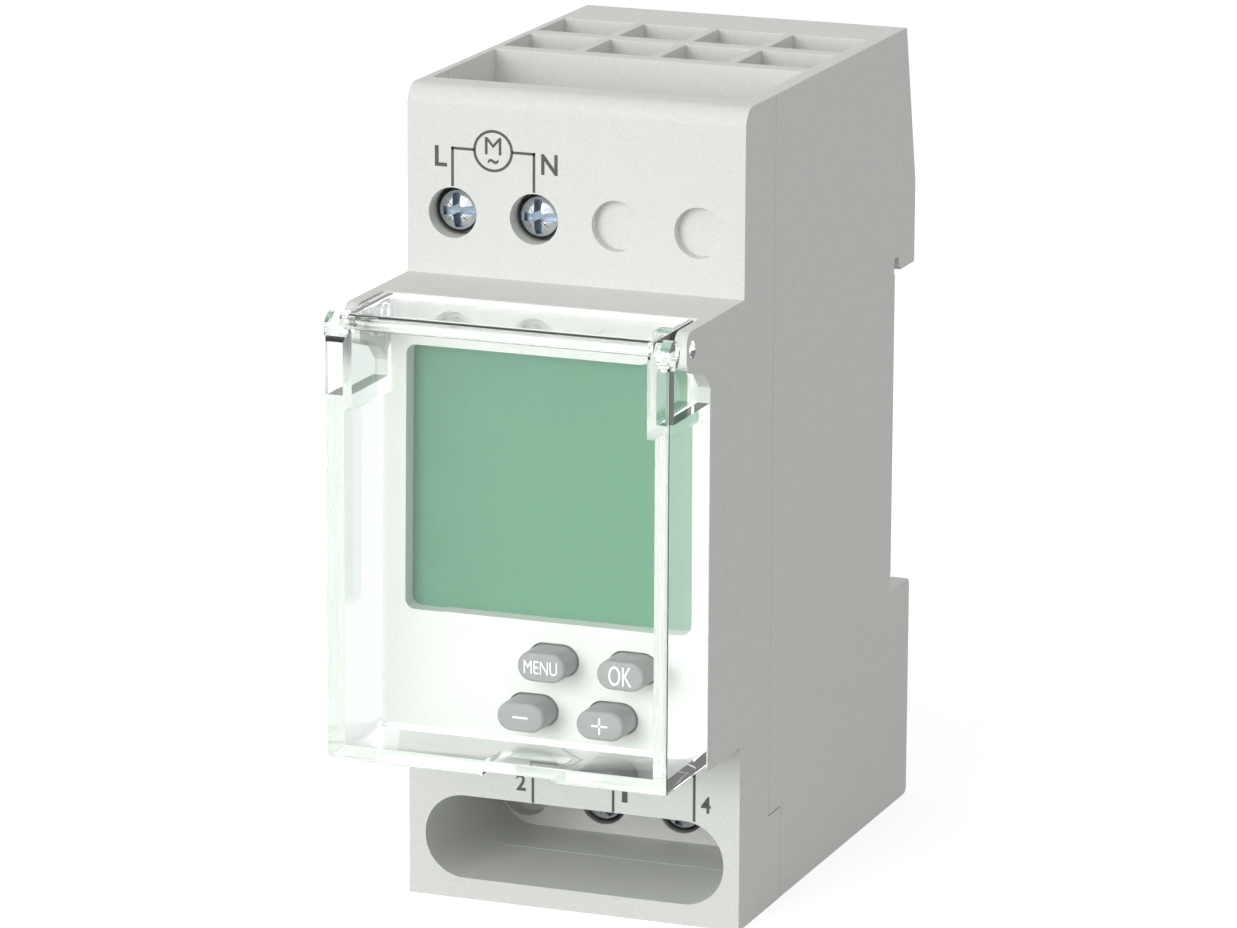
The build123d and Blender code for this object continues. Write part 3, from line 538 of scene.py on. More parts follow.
@dataclass
class Housing:
    """Both moulded shells, with their edges rounded as a mould leaves them."""

    frame: dict
    edge: float = 0.22 * MM
    pieces: list = field(default_factory=list)

    def build(self) -> None:
        """Makes the rounded shells and puts them in place of the plain ones."""
        for node in ("rear_shell", "front_shell"):
            shell = rounded_copy(self.frame["nodes"], node, f"{node}_moulded", self.edge)
            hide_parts(node)
            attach(shell, "housing")
            self.pieces.append(shell)

    def dress(self) -> None:
        """Gives the shells their moulded plastic."""
        material = HOUSING.make()
        for piece in self.pieces:
            dress(piece, material)


# ---- Hinged cover ----------------------------------------------------------------------------


@dataclass
class HingedCover:
    """Clear cover with a round bead along the top of its front."""

    frame: dict
    edge: float = 0.25 * MM
    bead_radius: float = 0.8 * MM
    barrel_length: float = 2.1 * MM
    bead_sides: int = 40
    groove_share: float = 0.7
    piece: Piece | None = None

    def build(self) -> None:
        """Makes the cover from the CAD shape, with the bead joined to its top front edge."""
        low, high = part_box("cover")
        bead_y = low.y + self.bead_radius
        bead_z = high.z - self.bead_radius
        reach = high.x - self.barrel_length
        source = merged_copy(self.frame["nodes"]["cover"], "cover_merged")
        groove = box_mesh(
            "cover_groove",
            (-reach, low.y - self.bead_radius, bead_z - self.groove_share * self.bead_radius),
            (reach, bead_y + self.groove_share * self.bead_radius, high.z + self.bead_radius),
        )
        joined(source, groove, "DIFFERENCE")
        bead = rod_mesh(
            "cover_bead", reach + self.edge, bead_y, bead_z, self.bead_radius, self.bead_sides
        )
        joined(source, bead, "UNION")
        cover = rounded(source, "cover_clear", self.edge)
        self.piece = cover
        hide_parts("cover")
        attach(cover, "cover")

    def dress(self) -> None:
        """Gives the cover its clear plastic."""
        dress(self.piece, ClearPlastic().make())


# ---- Buttons ---------------------------------------------------------------------------------


class Mark(Enum):
    """What is printed on each button: the words, their height and their width in millimetres."""

    MENU = ("menu", "MENU", 1.35, 3.5)
    OK = ("ok", "OK", 2.0, 2.4)
    MINUS = ("minus", "-", 0.22, 1.6)
    PLUS = ("plus", "+", 1.7, 1.7)


def lettering(words: str, name: str, height: float, width: float, weight: float) -> Piece:
    """Makes raised lettering of an exact size, standing upright around the origin and facing the front.

    Args:
        words: The text.
        name: The piece's name.
        height: Height of the inked box.
        width: Width of the inked box.
        weight: How far each stroke is thickened, as a share of the letter height.

    Returns:
        A mesh object, whose back lies on Y = 0.
    """
    curve = bpy.data.curves.new(name, "FONT")
    curve.body = words
    curve.align_x = "CENTER"
    curve.offset = weight
    curve.extrude = LETTER_EXTRUDE
    curve.resolution_u = LETTER_STEPS
    source = bpy.data.objects.new(name, curve)
    bpy.context.scene.collection.objects.link(source)
    made = baked(source, name)
    corners = [v.co for v in made.data.vertices]
    low = Vector([min(c[k] for c in corners) for k in range(3)])
    high = Vector([max(c[k] for c in corners) for k in range(3)])
    size = high - low
    centre = (low + high) / 2
    scale = Matrix.Diagonal((width / size.x, height / size.y, INK_THICKNESS / size.z, 1))
    upright = Matrix.Rotation(QUARTER_TURN, 4, "X")
    made.data.transform(
        Matrix.Translation((0, -INK_THICKNESS / 2, 0)) @ upright @ scale @ Matrix.Translation(-centre)
    )
    return made


def bar_mark(name: str, bars: list) -> Piece:
    """Makes a mark from flat bars facing the front.

    Args:
        name: The piece's name.
        bars: For each bar its width and height.

    Returns:
        A mesh object, whose back lies on Y = 0.
    """
    shape = bmesh.new()
    for width, height in bars:
        x, z = width / 2, height / 2
        add_plate(shape, [(-x, -z), (x, -z), (x, z), (-x, z)], 0.0, INK_THICKNESS)
    return from_shape(name, shape)


def add_plate(shape: BMesh, outline: list, y: float, thickness: float) -> None:
    """Adds a closed flat plate to a mesh being built.

    Args:
        shape: The mesh being built.
        outline: X and Z of the corners, anticlockwise seen from the front.
        y: Depth of the plate's back.
        thickness: How far it stands towards the front.
    """
    back = [shape.verts.new((x, y, z)) for x, z in outline]
    front = [shape.verts.new((x, y - thickness, z)) for x, z in outline]
    shape.faces.new(front)
    shape.faces.new(back[::-1])
    count = len(outline)
    for i in range(count):
        j = (i + 1) % count
        shape.faces.new((back[i], back[j], front[j], front[i]))


@dataclass
class ButtonSet:
    """The four push buttons with their white marks."""

    frame: dict
    edge: float = 0.06 * MM
    stroke: float = 0.2 * MM
    buttons: list = field(default_factory=list)
    marks: list = field(default_factory=list)

    def build(self) -> None:
        """Makes each button and its mark, which ride together."""
        for mark in Mark:
            name, words, height_mm, width_mm = mark.value
            body = f"{name}_button"
            button = rounded_copy(self.frame["nodes"], body, f"{name}_key", self.edge)
            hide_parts(body)
            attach(button, body)
            self.buttons.append(button)
            low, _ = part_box(body)
            centre = middle_of(body)
            printed = self.print_mark(mark, words, height_mm * MM, width_mm * MM)
            printed.data.transform(Matrix.Translation((centre.x, low.y, centre.z)))
            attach(printed, body)
            self.marks.append(printed)

    def print_mark(self, mark: Mark, words: str, height: float, width: float) -> Piece:
        """Makes one mark round the origin.

        Args:
            mark: Which button it is for.
            words: Its lettering.
            height: Its height.
            width: Its width.

        Returns:
            The mark's object.
        """
        name = f"{mark.value[0]}_mark"
        if mark is Mark.MINUS:
            return bar_mark(name, [(width, self.stroke)])
        if mark is Mark.PLUS:
            return bar_mark(name, [(width, self.stroke), (self.stroke, height)])
        return lettering(words, name, height, width, 0.0)

    def dress(self) -> None:
        """Gives the keys their grey plastic and the marks their white ink."""
        key = BUTTON.make()
        ink = WHITE_INK.make()
        for button in self.buttons:
            dress(button, key)
        for mark in self.marks:
            dress(mark, ink)


# ---- Terminal screws -------------------------------------------------------------------------


@dataclass
class TerminalScrews:
    """The five terminal screws, made by one node tree: domed head, cross and slot, threaded shank, with
    painted shade in the recess and a painted shadow round the head's rim.
    """

    frame: dict
    head_height: float = 2.2 * MM
    dome: float = 0.6 * MM
    shank_radius: float = 1.6 * MM
    thread_pitch: float = 0.6 * MM
    thread_depth: float = 0.13 * MM
    cross_width: float = 0.85 * MM
    cross_length: float = 3.5 * MM
    cross_depth: float = 1.3 * MM
    slot_length: float = 4.2 * MM
    slot_width: float = 0.8 * MM
    slot_depth: float = 0.75 * MM
    tick_width: float = 0.1 * MM
    tick_depth: float = 0.3 * MM
    tick_angle_deg: float = 45.0
    crown: float = 0.87
    crown_power: float = 2.4
    recess_margin: float = 0.06 * MM
    depth_margin: float = 0.1 * MM
    rim_margin: float = 0.02
    head_sides: int = 64
    head_rings: int = 8
    shank_sides: int = 32
    thread_steps: int = 24
    thread_end_turns: float = 1.4
    turns_deg: dict = field(
        default_factory=lambda: dict(zip(TERMINALS, (4.0, 2.0, 35.0, -12.0, 52.0)))
    )
    pieces: list = field(default_factory=list)

    def tree(self) -> Tree:
        """Builds the node tree of one screw, whose axis is Z and whose head ends at Z = 0.

        Returns:
            The geometry node tree.
        """
        tree = bpy.data.node_groups.new("terminal_screw", "GeometryNodeTree")
        inner = tree.interface
        inner.new_socket("Geometry", in_out="INPUT", socket_type="NodeSocketGeometry")
        for name in ("Head Radius", "Head Height", "Dome", "Shank Radius", "Shank Length", "Turn"):
            inner.new_socket(name, in_out="INPUT", socket_type="NodeSocketFloat")
        inner.new_socket("Place", in_out="INPUT", socket_type="NodeSocketVector")
        for name in ("Finish", "Recess Painted Shade", "Rim Painted Shadow"):
            inner.new_socket(name, in_out="INPUT", socket_type="NodeSocketMaterial")
        inner.new_socket("Geometry", in_out="OUTPUT", socket_type="NodeSocketGeometry")
        given = add_node(tree, "NodeGroupInput").outputs
        head = self.head(tree, given)
        shank = self.shank(tree, given)
        whole = add_node(tree, "GeometryNodeJoinGeometry")
        tree.links.new(head, whole.inputs["Geometry"])
        tree.links.new(shank, whole.inputs["Geometry"])
        placed = add_node(
            tree,
            "GeometryNodeTransform",
            {
                "Geometry": whole.outputs["Geometry"],
                "Translation": given["Place"],
                "Rotation": (QUARTER_TURN, 0.0, 0.0),
            },
        )
        real = add_node(tree, "GeometryNodeRealizeInstances", {"Geometry": placed.outputs["Geometry"]})
        faces = real.outputs["Geometry"]
        recess, rim = self.regions(tree, given)
        # The recess gets painted shade and the head's outer rim a near-black painted shadow.
        for socket, chosen in (("Finish", True), ("Recess Painted Shade", recess), ("Rim Painted Shadow", rim)):
            painted = add_node(
                tree,
                "GeometryNodeSetMaterial",
                {"Geometry": faces, "Selection": chosen, "Material": given[socket]},
            )
            faces = painted.outputs["Geometry"]
        add_node(tree, "NodeGroupOutput", {"Geometry": faces})
        return tree

    def regions(self, tree: Tree, given: Sockets) -> tuple:
        """Finds where shade is painted on the placed head: the recess, which gets painted shade, and the
        outer rim, which gets a near-black painted shadow.

        Args:
            tree: The tree being built.
            given: The tree's inputs.

        Returns:
            The selection of the recess and that of the rim.
        """
        place = add_node(tree, "GeometryNodeInputPosition").outputs["Position"]
        offset = add_node(tree, "ShaderNodeVectorMath", {0: place, 1: given["Place"]}, operation="SUBTRACT")
        parts = add_node(tree, "ShaderNodeSeparateXYZ", {"Vector": offset.outputs["Vector"]}).outputs
        share = self.share_of_radius(tree, given, parts["X"], parts["Z"])
        below = maths(tree, "SUBTRACT", parts["Y"], self.fall(tree, given, share))
        recess = [
            maths(tree, "LESS_THAN", share, self.crown),
            maths(tree, "GREATER_THAN", below, self.recess_margin),
            maths(tree, "LESS_THAN", parts["Y"], self.cross_depth + self.depth_margin),
        ]
        rim = [
            maths(tree, "GREATER_THAN", share, self.crown + self.rim_margin),
            maths(tree, "LESS_THAN", parts["Y"], given["Head Height"]),
        ]
        return self.all_of(tree, recess), self.all_of(tree, rim)

    def all_of(self, tree: Tree, tests: list) -> Socket:
        """Joins tests of one or zero: true where every one of them holds."""
        result = tests[0]
        for test in tests[1:]:
            result = maths(tree, "MULTIPLY", result, test)
        return result

    def share_of_radius(self, tree: Tree, given: Sockets, across: Socket, along: Socket) -> Socket:
        """Gives the distance from the axis as a share of the head's radius.

        Args:
            tree: The tree being built.
            given: The tree's inputs.
            across: First coordinate square to the axis.
            along: Second coordinate square to the axis.

        Returns:
            The share.
        """
        flat = add_node(tree, "ShaderNodeCombineXYZ", {"X": across, "Y": along})
        reach = add_node(tree, "ShaderNodeVectorMath", {0: flat.outputs["Vector"]}, operation="LENGTH")
        return maths(tree, "DIVIDE", reach.outputs["Value"], given["Head Radius"])

    def fall(self, tree: Tree, given: Sockets, share: Socket) -> Socket:
        """Gives how far the dome lies below its top at a share of the head's radius."""
        curved = maths(tree, "POWER", maths(tree, "DIVIDE", share, self.crown), self.crown_power)
        return maths(tree, "MULTIPLY", curved, given["Dome"])

    def head(self, tree: Tree, given: Sockets) -> Socket:
        """Adds the domed head with its cross, slot and ticks.

        Args:
            tree: The tree being built.
            given: The tree's inputs.

        Returns:
            The head's geometry.
        """
        blank = add_node(
            tree,
            "GeometryNodeMeshCylinder",
            {
                "Vertices": self.head_sides,
                "Side Segments": 1,
                "Fill Segments": self.head_rings,
                "Radius": given["Head Radius"],
                "Depth": given["Head Height"],
            },
        )
        place = add_node(tree, "GeometryNodeInputPosition").outputs["Position"]
        parts = add_node(tree, "ShaderNodeSeparateXYZ", {"Vector": place}).outputs
        share = self.share_of_radius(tree, given, parts["X"], parts["Y"])
        sunk = maths(tree, "SUBTRACT", 0.0, self.fall(tree, given, share))
        shift = add_node(tree, "ShaderNodeCombineXYZ", {"Z": sunk})
        top = add_node(tree, "FunctionNodeCompare", {0: parts["Z"], 1: 0.0}, operation="GREATER_THAN")
        domed = add_node(
            tree,
            "GeometryNodeSetPosition",
            {
                "Geometry": blank.outputs["Mesh"],
                "Selection": top.outputs["Result"],
                "Offset": shift.outputs["Vector"],
            },
        )
        half = maths(tree, "MULTIPLY", given["Head Height"], 0.5)
        lift = add_node(tree, "ShaderNodeCombineXYZ", {"Z": half})
        cut = add_node(
            tree,
            "GeometryNodeMeshBoolean",
            {"Mesh 1": domed.outputs["Geometry"], "Self Intersection": True},
            operation="DIFFERENCE",
            solver="EXACT",
        )
        cutters = [
            (self.cross_width, self.cross_length, self.cross_depth, 0.0),
            (self.cross_length, self.cross_width, self.cross_depth, 0.0),
            (self.slot_length, self.slot_width, self.slot_depth, 0.0),
            (self.tick_width, self.slot_length, self.tick_depth, self.tick_angle_deg),
            (self.slot_length, self.tick_width, self.tick_depth, self.tick_angle_deg),
        ]
        for width, length, depth, turned in cutters:
            block = add_node(tree, "GeometryNodeMeshCube", {"Size": (width, length, 2 * depth)})
            angle = maths(tree, "ADD", given["Turn"], math.radians(turned))
            spin = add_node(tree, "ShaderNodeCombineXYZ", {"Z": angle})
            seated = add_node(
                tree,
                "GeometryNodeTransform",
                {
                    "Geometry": block.outputs["Mesh"],
                    "Translation": lift.outputs["Vector"],
                    "Rotation": spin.outputs["Vector"],
                },
            )
            tree.links.new(seated.outputs["Geometry"], cut.inputs["Mesh 2"])
        return self.lowered(tree, cut.outputs["Mesh"], half)

    def lowered(self, tree: Tree, shape: Socket, depth: Socket) -> Socket:
        """Moves a shape down the screw's axis.

        Args:
            tree: The tree being built.
            shape: The geometry to move.
            depth: How far it moves.

        Returns:
            The moved geometry.
        """
        under = add_node(tree, "ShaderNodeCombineXYZ", {"Z": maths(tree, "SUBTRACT", 0.0, depth)})
        moved = add_node(
            tree, "GeometryNodeTransform", {"Geometry": shape, "Translation": under.outputs["Vector"]}
        )
        return moved.outputs["Geometry"]

    def shank(self, tree: Tree, given: Sockets) -> Socket:
        """Adds the shank and its thread under the head.

        Args:
            tree: The tree being built.
            given: The tree's inputs.

        Returns:
            The shank's geometry.
        """
        core = add_node(
            tree,
            "GeometryNodeMeshCylinder",
            {
                "Vertices": self.shank_sides,
                "Radius": given["Shank Radius"],
                "Depth": given["Shank Length"],
            },
        )
        turns = maths(tree, "DIVIDE", given["Shank Length"], self.thread_pitch)
        run = maths(tree, "SUBTRACT", turns, self.thread_end_turns)
        rise = maths(tree, "MULTIPLY", run, self.thread_pitch)
        helix = add_node(
            tree,
            "GeometryNodeCurveSpiral",
            {
                "Resolution": self.thread_steps,
                "Rotations": run,
                "Start Radius": given["Shank Radius"],
                "End Radius": given["Shank Radius"],
                "Height": rise,
            },
        )
        tooth = add_node(
            tree, "GeometryNodeCurvePrimitiveCircle", {"Resolution": 4, "Radius": self.thread_depth}
        )
        thread = add_node(
            tree,
            "GeometryNodeCurveToMesh",
            {"Curve": helix.outputs["Curve"], "Profile Curve": tooth.outputs["Curve"], "Fill Caps": True},
        )
        centred = self.lowered(tree, thread.outputs["Mesh"], maths(tree, "MULTIPLY", rise, 0.5))
        both = add_node(tree, "GeometryNodeJoinGeometry")
        tree.links.new(core.outputs["Mesh"], both.inputs["Geometry"])
        tree.links.new(centred, both.inputs["Geometry"])
        half = maths(tree, "MULTIPLY", given["Shank Length"], 0.5)
        return self.lowered(tree, both.outputs["Geometry"], maths(tree, "ADD", half, given["Head Height"]))

    def build(self) -> None:
        """Makes one screw for each terminal, at its CAD screw's place."""
        tree = self.tree()
        # The second and third materials are painted shade for the recess and a painted shadow for the head's
        # rim.
        finish, recess, rim = ZINC.make(), RECESS_PAINTED_SHADE.make(), RIM_PAINTED_SHADOW.make()
        sockets = {s.name: s.identifier for s in tree.interface.items_tree if s.in_out == "INPUT"}
        for name, turn in self.turns_deg.items():
            low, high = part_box(f"{name}_screw")
            base = new_object(f"{name}_screw_base", bpy.data.meshes.new("screw_base"))
            modifier = base.modifiers.new("screw", "NODES")
            modifier.node_group = tree
            values = {
                "Head Radius": (high.x - low.x) / 2,
                "Head Height": self.head_height,
                "Dome": self.dome,
                "Shank Radius": self.shank_radius,
                "Shank Length": high.y - low.y - self.head_height,
                "Turn": math.radians(turn),
                "Place": (middle_of(f"{name}_screw").x, low.y, middle_of(f"{name}_screw").z),
                "Finish": finish,
                "Recess Painted Shade": recess,
                "Rim Painted Shadow": rim,
            }
            for label, value in values.items():
                modifier[sockets[label]] = value
            screw = baked(base, f"{name}_screw_zinc")
            screw.data.shade_smooth()
            screw.data.set_sharp_from_angle(angle=SHARP_ANGLE)
            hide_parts(f"{name}_screw")
            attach(screw, f"{name}_screw")
            self.pieces.append(screw)


# ---- Printed diagrams ------------------------------------------------------------------------


@dataclass(frozen=True)
class Letter:
    """One printed letter: where it stands from its column's axis and how large it is, in millimetres."""

    words: str
    name: str
    column: str
    aside_mm: float
    z_mm: float
    width_mm: float
    height_mm: float
    weight: float = 0.02

    def make(self, axis: float, y: float) -> Piece:
        """Makes the letter beside its column's axis, on a face at depth y."""
        made = lettering(self.words, self.name, self.height_mm * MM, self.width_mm * MM, self.weight)
        made.data.transform(Matrix.Translation((axis + self.aside_mm * MM, y, self.z_mm * MM)))
        return made


UPPER_LETTERS = (
    Letter("M", "motor_letter", "motor", 0.0, 36.55, 1.75, 1.75, 0.0),
    Letter("~", "motor_wave", "motor", 0.0, 35.0, 1.15, 0.5, 0.01),
    Letter("L", "line_letter", "line", -1.25, 35.15, 1.3, 2.1),
    Letter("N", "neutral_letter", "neutral", 1.65, 35.1, 1.75, 2.1),
)
LOWER_LETTERS = (
    Letter("2", "closing_digit", "closing", -1.3, -29.1, 1.05, 1.75),
    Letter("1", "common_digit", "common", 1.25, -29.1, 0.6, 1.75, 0.0),
    Letter("4", "opening_digit", "opening", 1.25, -29.25, 1.05, 1.75),
)


@dataclass
class TerminalPrint:
    """The wiring marks printed over the upper and the lower screws."""

    frame: dict
    head_inset: float = 1.0 * MM
    stroke: float = 0.27 * MM
    circle_radius: float = 2.0 * MM
    circle_sides: int = 72
    circle_z: float = 36.05 * MM
    drop_z: float = 32.3 * MM
    lower_line_z: float = -31.0 * MM
    blade_z: float = -26.8 * MM
    closing_end_x: float = 2.7 * MM
    blade_root_drop: float = 1.3 * MM
    blade_tip_x: float = -1.1 * MM
    blade_tip_rise: float = 1.35 * MM
    opening_rise: float = 0.5 * MM
    opening_end_x: float = 5.2 * MM
    opening_end_rise: float = 0.2 * MM
    pieces: list = field(default_factory=list)

    def strokes(self, name: str, lines: list, y: float) -> Piece:
        """Makes a printed piece from straight strokes.

        Args:
            name: The piece's name.
            lines: Pairs of end points, each X and Z.
            y: Depth of the printed face.

        Returns:
            The printed piece.
        """
        shape = bmesh.new()
        for (x0, z0), (x1, z1) in lines:
            along = Vector((x1 - x0, z1 - z0)).normalized() * (self.stroke / 2)
            side = Vector((along.y, -along.x))
            start = Vector((x0, z0)) - along
            end = Vector((x1, z1)) + along
            outline = [start + side, end + side, end - side, start - side]
            add_plate(shape, [tuple(p) for p in outline], y, INK_THICKNESS)
        bmesh.ops.recalc_face_normals(shape, faces=shape.faces)
        return from_shape(name, shape)

    def ring(self, name: str, x: float, z: float, y: float) -> Piece:
        """Makes the printed circle of the motor sign.

        Args:
            name: The piece's name.
            x: Centre across the width.
            z: Centre height.
            y: Depth of the printed face.

        Returns:
            The printed ring.
        """
        shape = bmesh.new()
        count = self.circle_sides
        radii = (self.circle_radius - self.stroke / 2, self.circle_radius + self.stroke / 2)
        rings = []
        for depth in (y, y - INK_THICKNESS):
            for radius in radii:
                rings.append(
                    [
                        shape.verts.new((x + radius * math.cos(a), depth, z + radius * math.sin(a)))
                        for a in (2 * math.pi * i / count for i in range(count))
                    ]
                )
        back_in, back_out, front_in, front_out = rings
        for i in range(count):
            j = (i + 1) % count
            shape.faces.new((front_in[i], front_in[j], front_out[j], front_out[i]))
            shape.faces.new((back_in[j], back_in[i], back_out[i], back_out[j]))
            shape.faces.new((front_out[i], front_out[j], back_out[j], back_out[i]))
            shape.faces.new((front_in[j], front_in[i], back_in[i], back_in[j]))
        bmesh.ops.recalc_face_normals(shape, faces=shape.faces)
        return from_shape(name, shape)

    def upper_lines(self, left: float, middle: float, right: float) -> list:
        """Gives the strokes from both upper screws to the motor sign.

        Args:
            left: X of the line screw.
            middle: X of the motor sign.
            right: X of the neutral screw.

        Returns:
            Pairs of end points.
        """
        rim = self.circle_radius + self.stroke / 2
        return [
            ((left, self.drop_z), (left, self.circle_z)),
            ((left, self.circle_z), (middle - rim, self.circle_z)),
            ((middle + rim, self.circle_z), (right, self.circle_z)),
            ((right, self.circle_z), (right, self.drop_z)),
        ]

    def lower_lines(self, closing: float, common: float, opening: float) -> list:
        """Gives the strokes of the changeover switch over the lower screws.

        Args:
            closing: X of the closing contact's screw.
            common: X of the common screw.
            opening: X of the opening contact's screw.

        Returns:
            Pairs of end points.
        """
        low, top = self.lower_line_z, self.blade_z
        root = (common, top - self.blade_root_drop)
        bend = (opening, top + self.opening_rise)
        return [
            ((closing, low), (closing, top)),
            ((closing, top), (self.closing_end_x, top)),
            ((common, low), root),
            (root, (self.blade_tip_x, top + self.blade_tip_rise)),
            ((opening, low), bend),
            (bend, (self.opening_end_x, top + self.opening_end_rise)),
        ]

    def build(self) -> None:
        """Makes both diagrams on the face in front of the screws."""
        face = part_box("line_screw")[0].y - self.head_inset
        column = {name: middle_of(f"{name}_screw").x for name in TERMINALS}
        column["motor"] = (column["line"] + column["neutral"]) / 2
        upper = self.upper_lines(column["line"], column["motor"], column["neutral"])
        lower = self.lower_lines(column["closing"], column["common"], column["opening"])
        self.pieces.append(self.strokes("upper_diagram", upper, face))
        self.pieces.append(self.ring("motor_ring", column["motor"], self.circle_z, face))
        self.pieces.extend(letter.make(column[letter.column], face) for letter in UPPER_LETTERS)
        self.pieces.append(self.strokes("lower_diagram", lower, face))
        self.pieces.extend(letter.make(column[letter.column], face) for letter in LOWER_LETTERS)
        for piece in self.pieces:
            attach(piece, "housing")

    def dress(self) -> None:
        """Gives the print its dark ink."""
        ink = DARK_INK.make()
        for piece in self.pieces:
            dress(piece, ink)


# ---- Rail latch ------------------------------------------------------------------------------


@dataclass
class RailLatch:
    """The sliding latch and the spring that pushes it up."""

    frame: dict
    edge: float = 0.25 * MM
    spring_edge: float = 0.08 * MM
    fixed_z: float = -36.3 * MM
    latch: Piece | None = None
    spring: Piece | None = None

    def build(self) -> None:
        """Makes the latch, and the spring, which stays fixed to the housing."""
        self.latch = rounded_copy(self.frame["nodes"], "din_latch", "latch_moulded", self.edge)
        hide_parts("din_latch")
        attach(self.latch, "din_latch")
        self.spring = rounded_copy(
            self.frame["nodes"], "latch_spring", "latch_spring_wire", self.spring_edge
        )
        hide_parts("latch_spring")
        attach(self.spring, "housing")
        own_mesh(self.spring)

    def dress(self) -> None:
        """Gives the latch its plastic and the spring its steel."""
        dress(self.latch, LATCH.make())
        dress(self.spring, SPRING.make())


# ---- Parts that keep their CAD shape ---------------------------------------------------------


@dataclass
class InnerParts:
    """Boards, contacts and components inside, which keep their CAD shape and get their finishes."""

    frame: dict
    finishes: dict = field(
        default_factory=lambda: {
            "lcd_panel": LCD,
            "lcd_frame": FRAME,
            "contact_strips": RUBBER,
            "display_board": LAMINATE,
            "power_board": LAMINATE,
            "header_pins": PINS,
            "header_strip": HEADER,
            "header_socket": HEADER,
            "controller_chip": CHIP,
            "quartz": QUARTZ,
            "relay_base": RELAY,
            "relay_case": RELAY,
            "mains_capacitor": FILM_BOX,
            "smoothing_capacitor": CAN,
            "varistor": VARISTOR,
            "fusible_resistor": RESISTOR,
            "backup_cell": CELL,
            "cell_clip": CELL,
            "cell_seat": SWITCH,
            "switches": SWITCH,
        }
    )

    def dress(self) -> None:
        """Gives each CAD piece its finish; pieces with the same finish share one material."""
        wanted = dict(self.finishes)
        for name in TERMINALS:
            wanted[f"{name}_clamp"] = CLAMP
            wanted[f"{name}_bar"] = BRASS
        for mark in Mark:
            wanted[f"{mark.value[0]}_plunger"] = SWITCH
        made = {}
        for node, finish in wanted.items():
            if finish not in made:
                made[finish] = finish.make()
            material = made[finish]
            piece = self.frame["nodes"][node]
            if not piece.material_slots:
                piece.data.materials.append(material)
            for slot in piece.material_slots:
                slot.material = material


# ---- Studio ----------------------------------------------------------------------------------


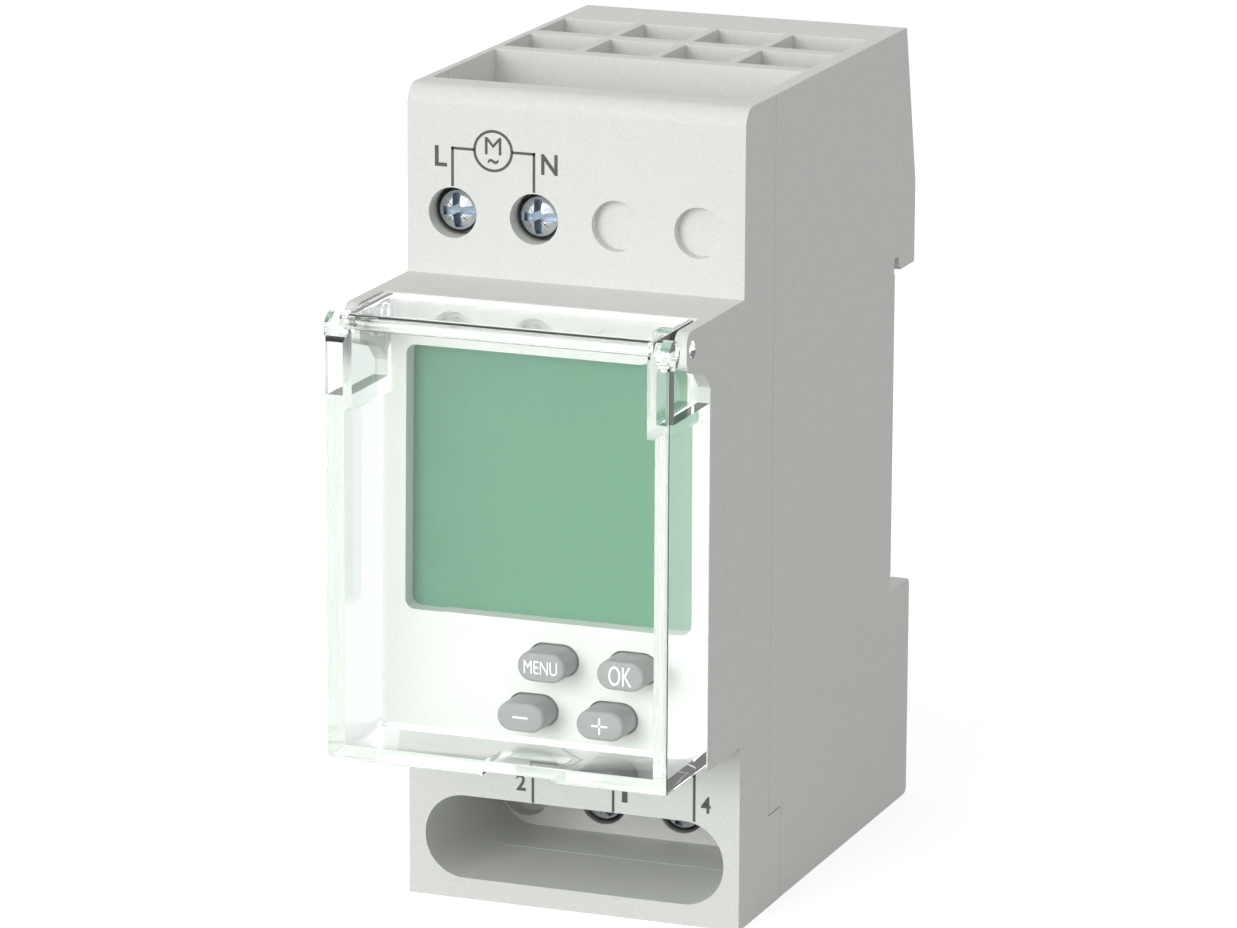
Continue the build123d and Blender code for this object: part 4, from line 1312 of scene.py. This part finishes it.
@dataclass
class Studio:
    """Pale floor, one plain soft lamp and the camera."""

    floor_z: float
    floor_size: float = 24.0
    lens: float = 193.9
    sensor_mm: float = 36.0
    clip: tuple = (0.01, 60.0)
    azimuth_deg: float = 21.0
    elevation_deg: float = 13.91
    roll_deg: float = 0.28
    camera_place: tuple = (0.2364, -0.6499, 0.1653)
    ambient: float = 0.6
    key_power: float = 14.0
    key_size: float = 0.9
    key_place: tuple = (-0.45, -1.5, 0.45)
    paper: str = "#c4c4c4"
    paper_lift: float = 0.68

    def build(self) -> None:
        """Makes the world, the floor, the lamp and the camera."""
        self.world()
        self.floor()
        self.lamp()
        self.camera()

    def world(self) -> None:
        """Makes an even world, white to the camera, glass and metal, dimmer as light on matte faces."""
        world = bpy.data.worlds.new("studio_world")
        bpy.context.scene.world = world
        world.use_nodes = True
        tree = world.node_tree
        tree.nodes.clear()
        rays = add_node(tree, "ShaderNodeLightPath").outputs
        seen = maths(tree, "MAXIMUM", rays["Is Camera Ray"], rays["Is Glossy Ray"])
        shown = maths(tree, "MAXIMUM", seen, rays["Is Transmission Ray"])
        first = maths(tree, "MAXIMUM", maths(tree, "SUBTRACT", 1.0, rays["Diffuse Depth"]), 0.0)
        direct = maths(tree, "MULTIPLY", shown, first)
        strength = add_node(
            tree,
            "ShaderNodeMapRange",
            {"Value": direct, "To Min": self.ambient, "To Max": 1.0},
        )
        light = add_node(
            tree,
            "ShaderNodeBackground",
            {"Color": (1.0, 1.0, 1.0, 1.0), "Strength": strength.outputs["Result"]},
        )
        add_node(tree, "ShaderNodeOutputWorld", {"Surface": light.outputs["Background"]})

    def floor(self) -> None:
        """Makes the white floor, which keeps the object's shadow."""
        shape = bmesh.new()
        half = self.floor_size / 2
        corners = [(-half, -half), (half, -half), (half, half), (-half, half)]
        shape.faces.new([shape.verts.new((x, y, self.floor_z)) for x, y in corners])
        floor = from_shape("studio_floor", shape)
        material = bpy.data.materials.new("studio_paper_white")
        material.use_nodes = True
        tree = material.node_tree
        tree.nodes.clear()
        rays = add_node(tree, "ShaderNodeLightPath").outputs
        paper = add_node(tree, "ShaderNodeBsdfDiffuse", {"Color": linear(self.paper)})
        seen = maths(tree, "MAXIMUM", rays["Is Camera Ray"], rays["Is Glossy Ray"])
        boost = maths(tree, "MULTIPLY", seen, self.paper_lift)
        glow = add_node(
            tree,
            "ShaderNodeEmission",
            {"Color": (1.0, 1.0, 1.0, 1.0), "Strength": boost},
        )
        both = add_node(tree, "ShaderNodeAddShader", {0: paper.outputs["BSDF"], 1: glow.outputs["Emission"]})
        add_node(tree, "ShaderNodeOutputMaterial", {"Surface": both.outputs["Shader"]})
        dress(floor, material)
        floor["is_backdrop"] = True

    def lamp(self) -> None:
        """Adds the square soft lamp, which faces the object."""
        data = bpy.data.lights.new("key_lamp", "AREA")
        data.energy = self.key_power
        data.size = self.key_size
        lamp = bpy.data.objects.new("key_lamp", data)
        bpy.context.scene.collection.objects.link(lamp)
        lamp.location = self.key_place
        lamp.rotation_mode = "QUATERNION"
        lamp.rotation_quaternion = (-Vector(self.key_place)).to_track_quat("-Z", "Y")
        lamp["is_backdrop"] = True

    def camera(self) -> None:
        """Makes the camera from its place and its angles."""
        data = bpy.data.cameras.new("camera")
        data.lens = self.lens
        data.sensor_width = self.sensor_mm
        data.sensor_fit = "HORIZONTAL"
        data.clip_start, data.clip_end = self.clip
        camera = bpy.data.objects.new("camera", data)
        bpy.context.scene.collection.objects.link(camera)
        turned = (
            Matrix.Rotation(math.radians(self.azimuth_deg), 4, "Z")
            @ Matrix.Rotation(QUARTER_TURN - math.radians(self.elevation_deg), 4, "X")
            @ Matrix.Rotation(math.radians(self.roll_deg), 4, "Z")
        )
        camera.matrix_world = Matrix.Translation(self.camera_place) @ turned
        bpy.context.scene.camera = camera


def main() -> None:
    """Builds every sub-assembly in order."""
    logging.basicConfig(level=logging.INFO, format="%(name)s: %(message)s")
    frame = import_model()
    cad_low, cad_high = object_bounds()
    bpy.context.scene.view_settings.view_transform = "Standard"

    housing = Housing(frame)
    cover = HingedCover(frame)
    buttons = ButtonSet(frame)
    screws = TerminalScrews(frame)
    prints = TerminalPrint(frame)
    latch = RailLatch(frame)
    for part in (housing, cover, buttons, screws, prints, latch):
        part.build()
        log.info("built %s", type(part).__name__)
    for part in (housing, cover, buttons, prints, latch, InnerParts(frame)):
        part.dress()
        log.info("dressed %s", type(part).__name__)

    Studio(floor_z=cad_low.z).build()


if __name__ == "__main__":
    main()
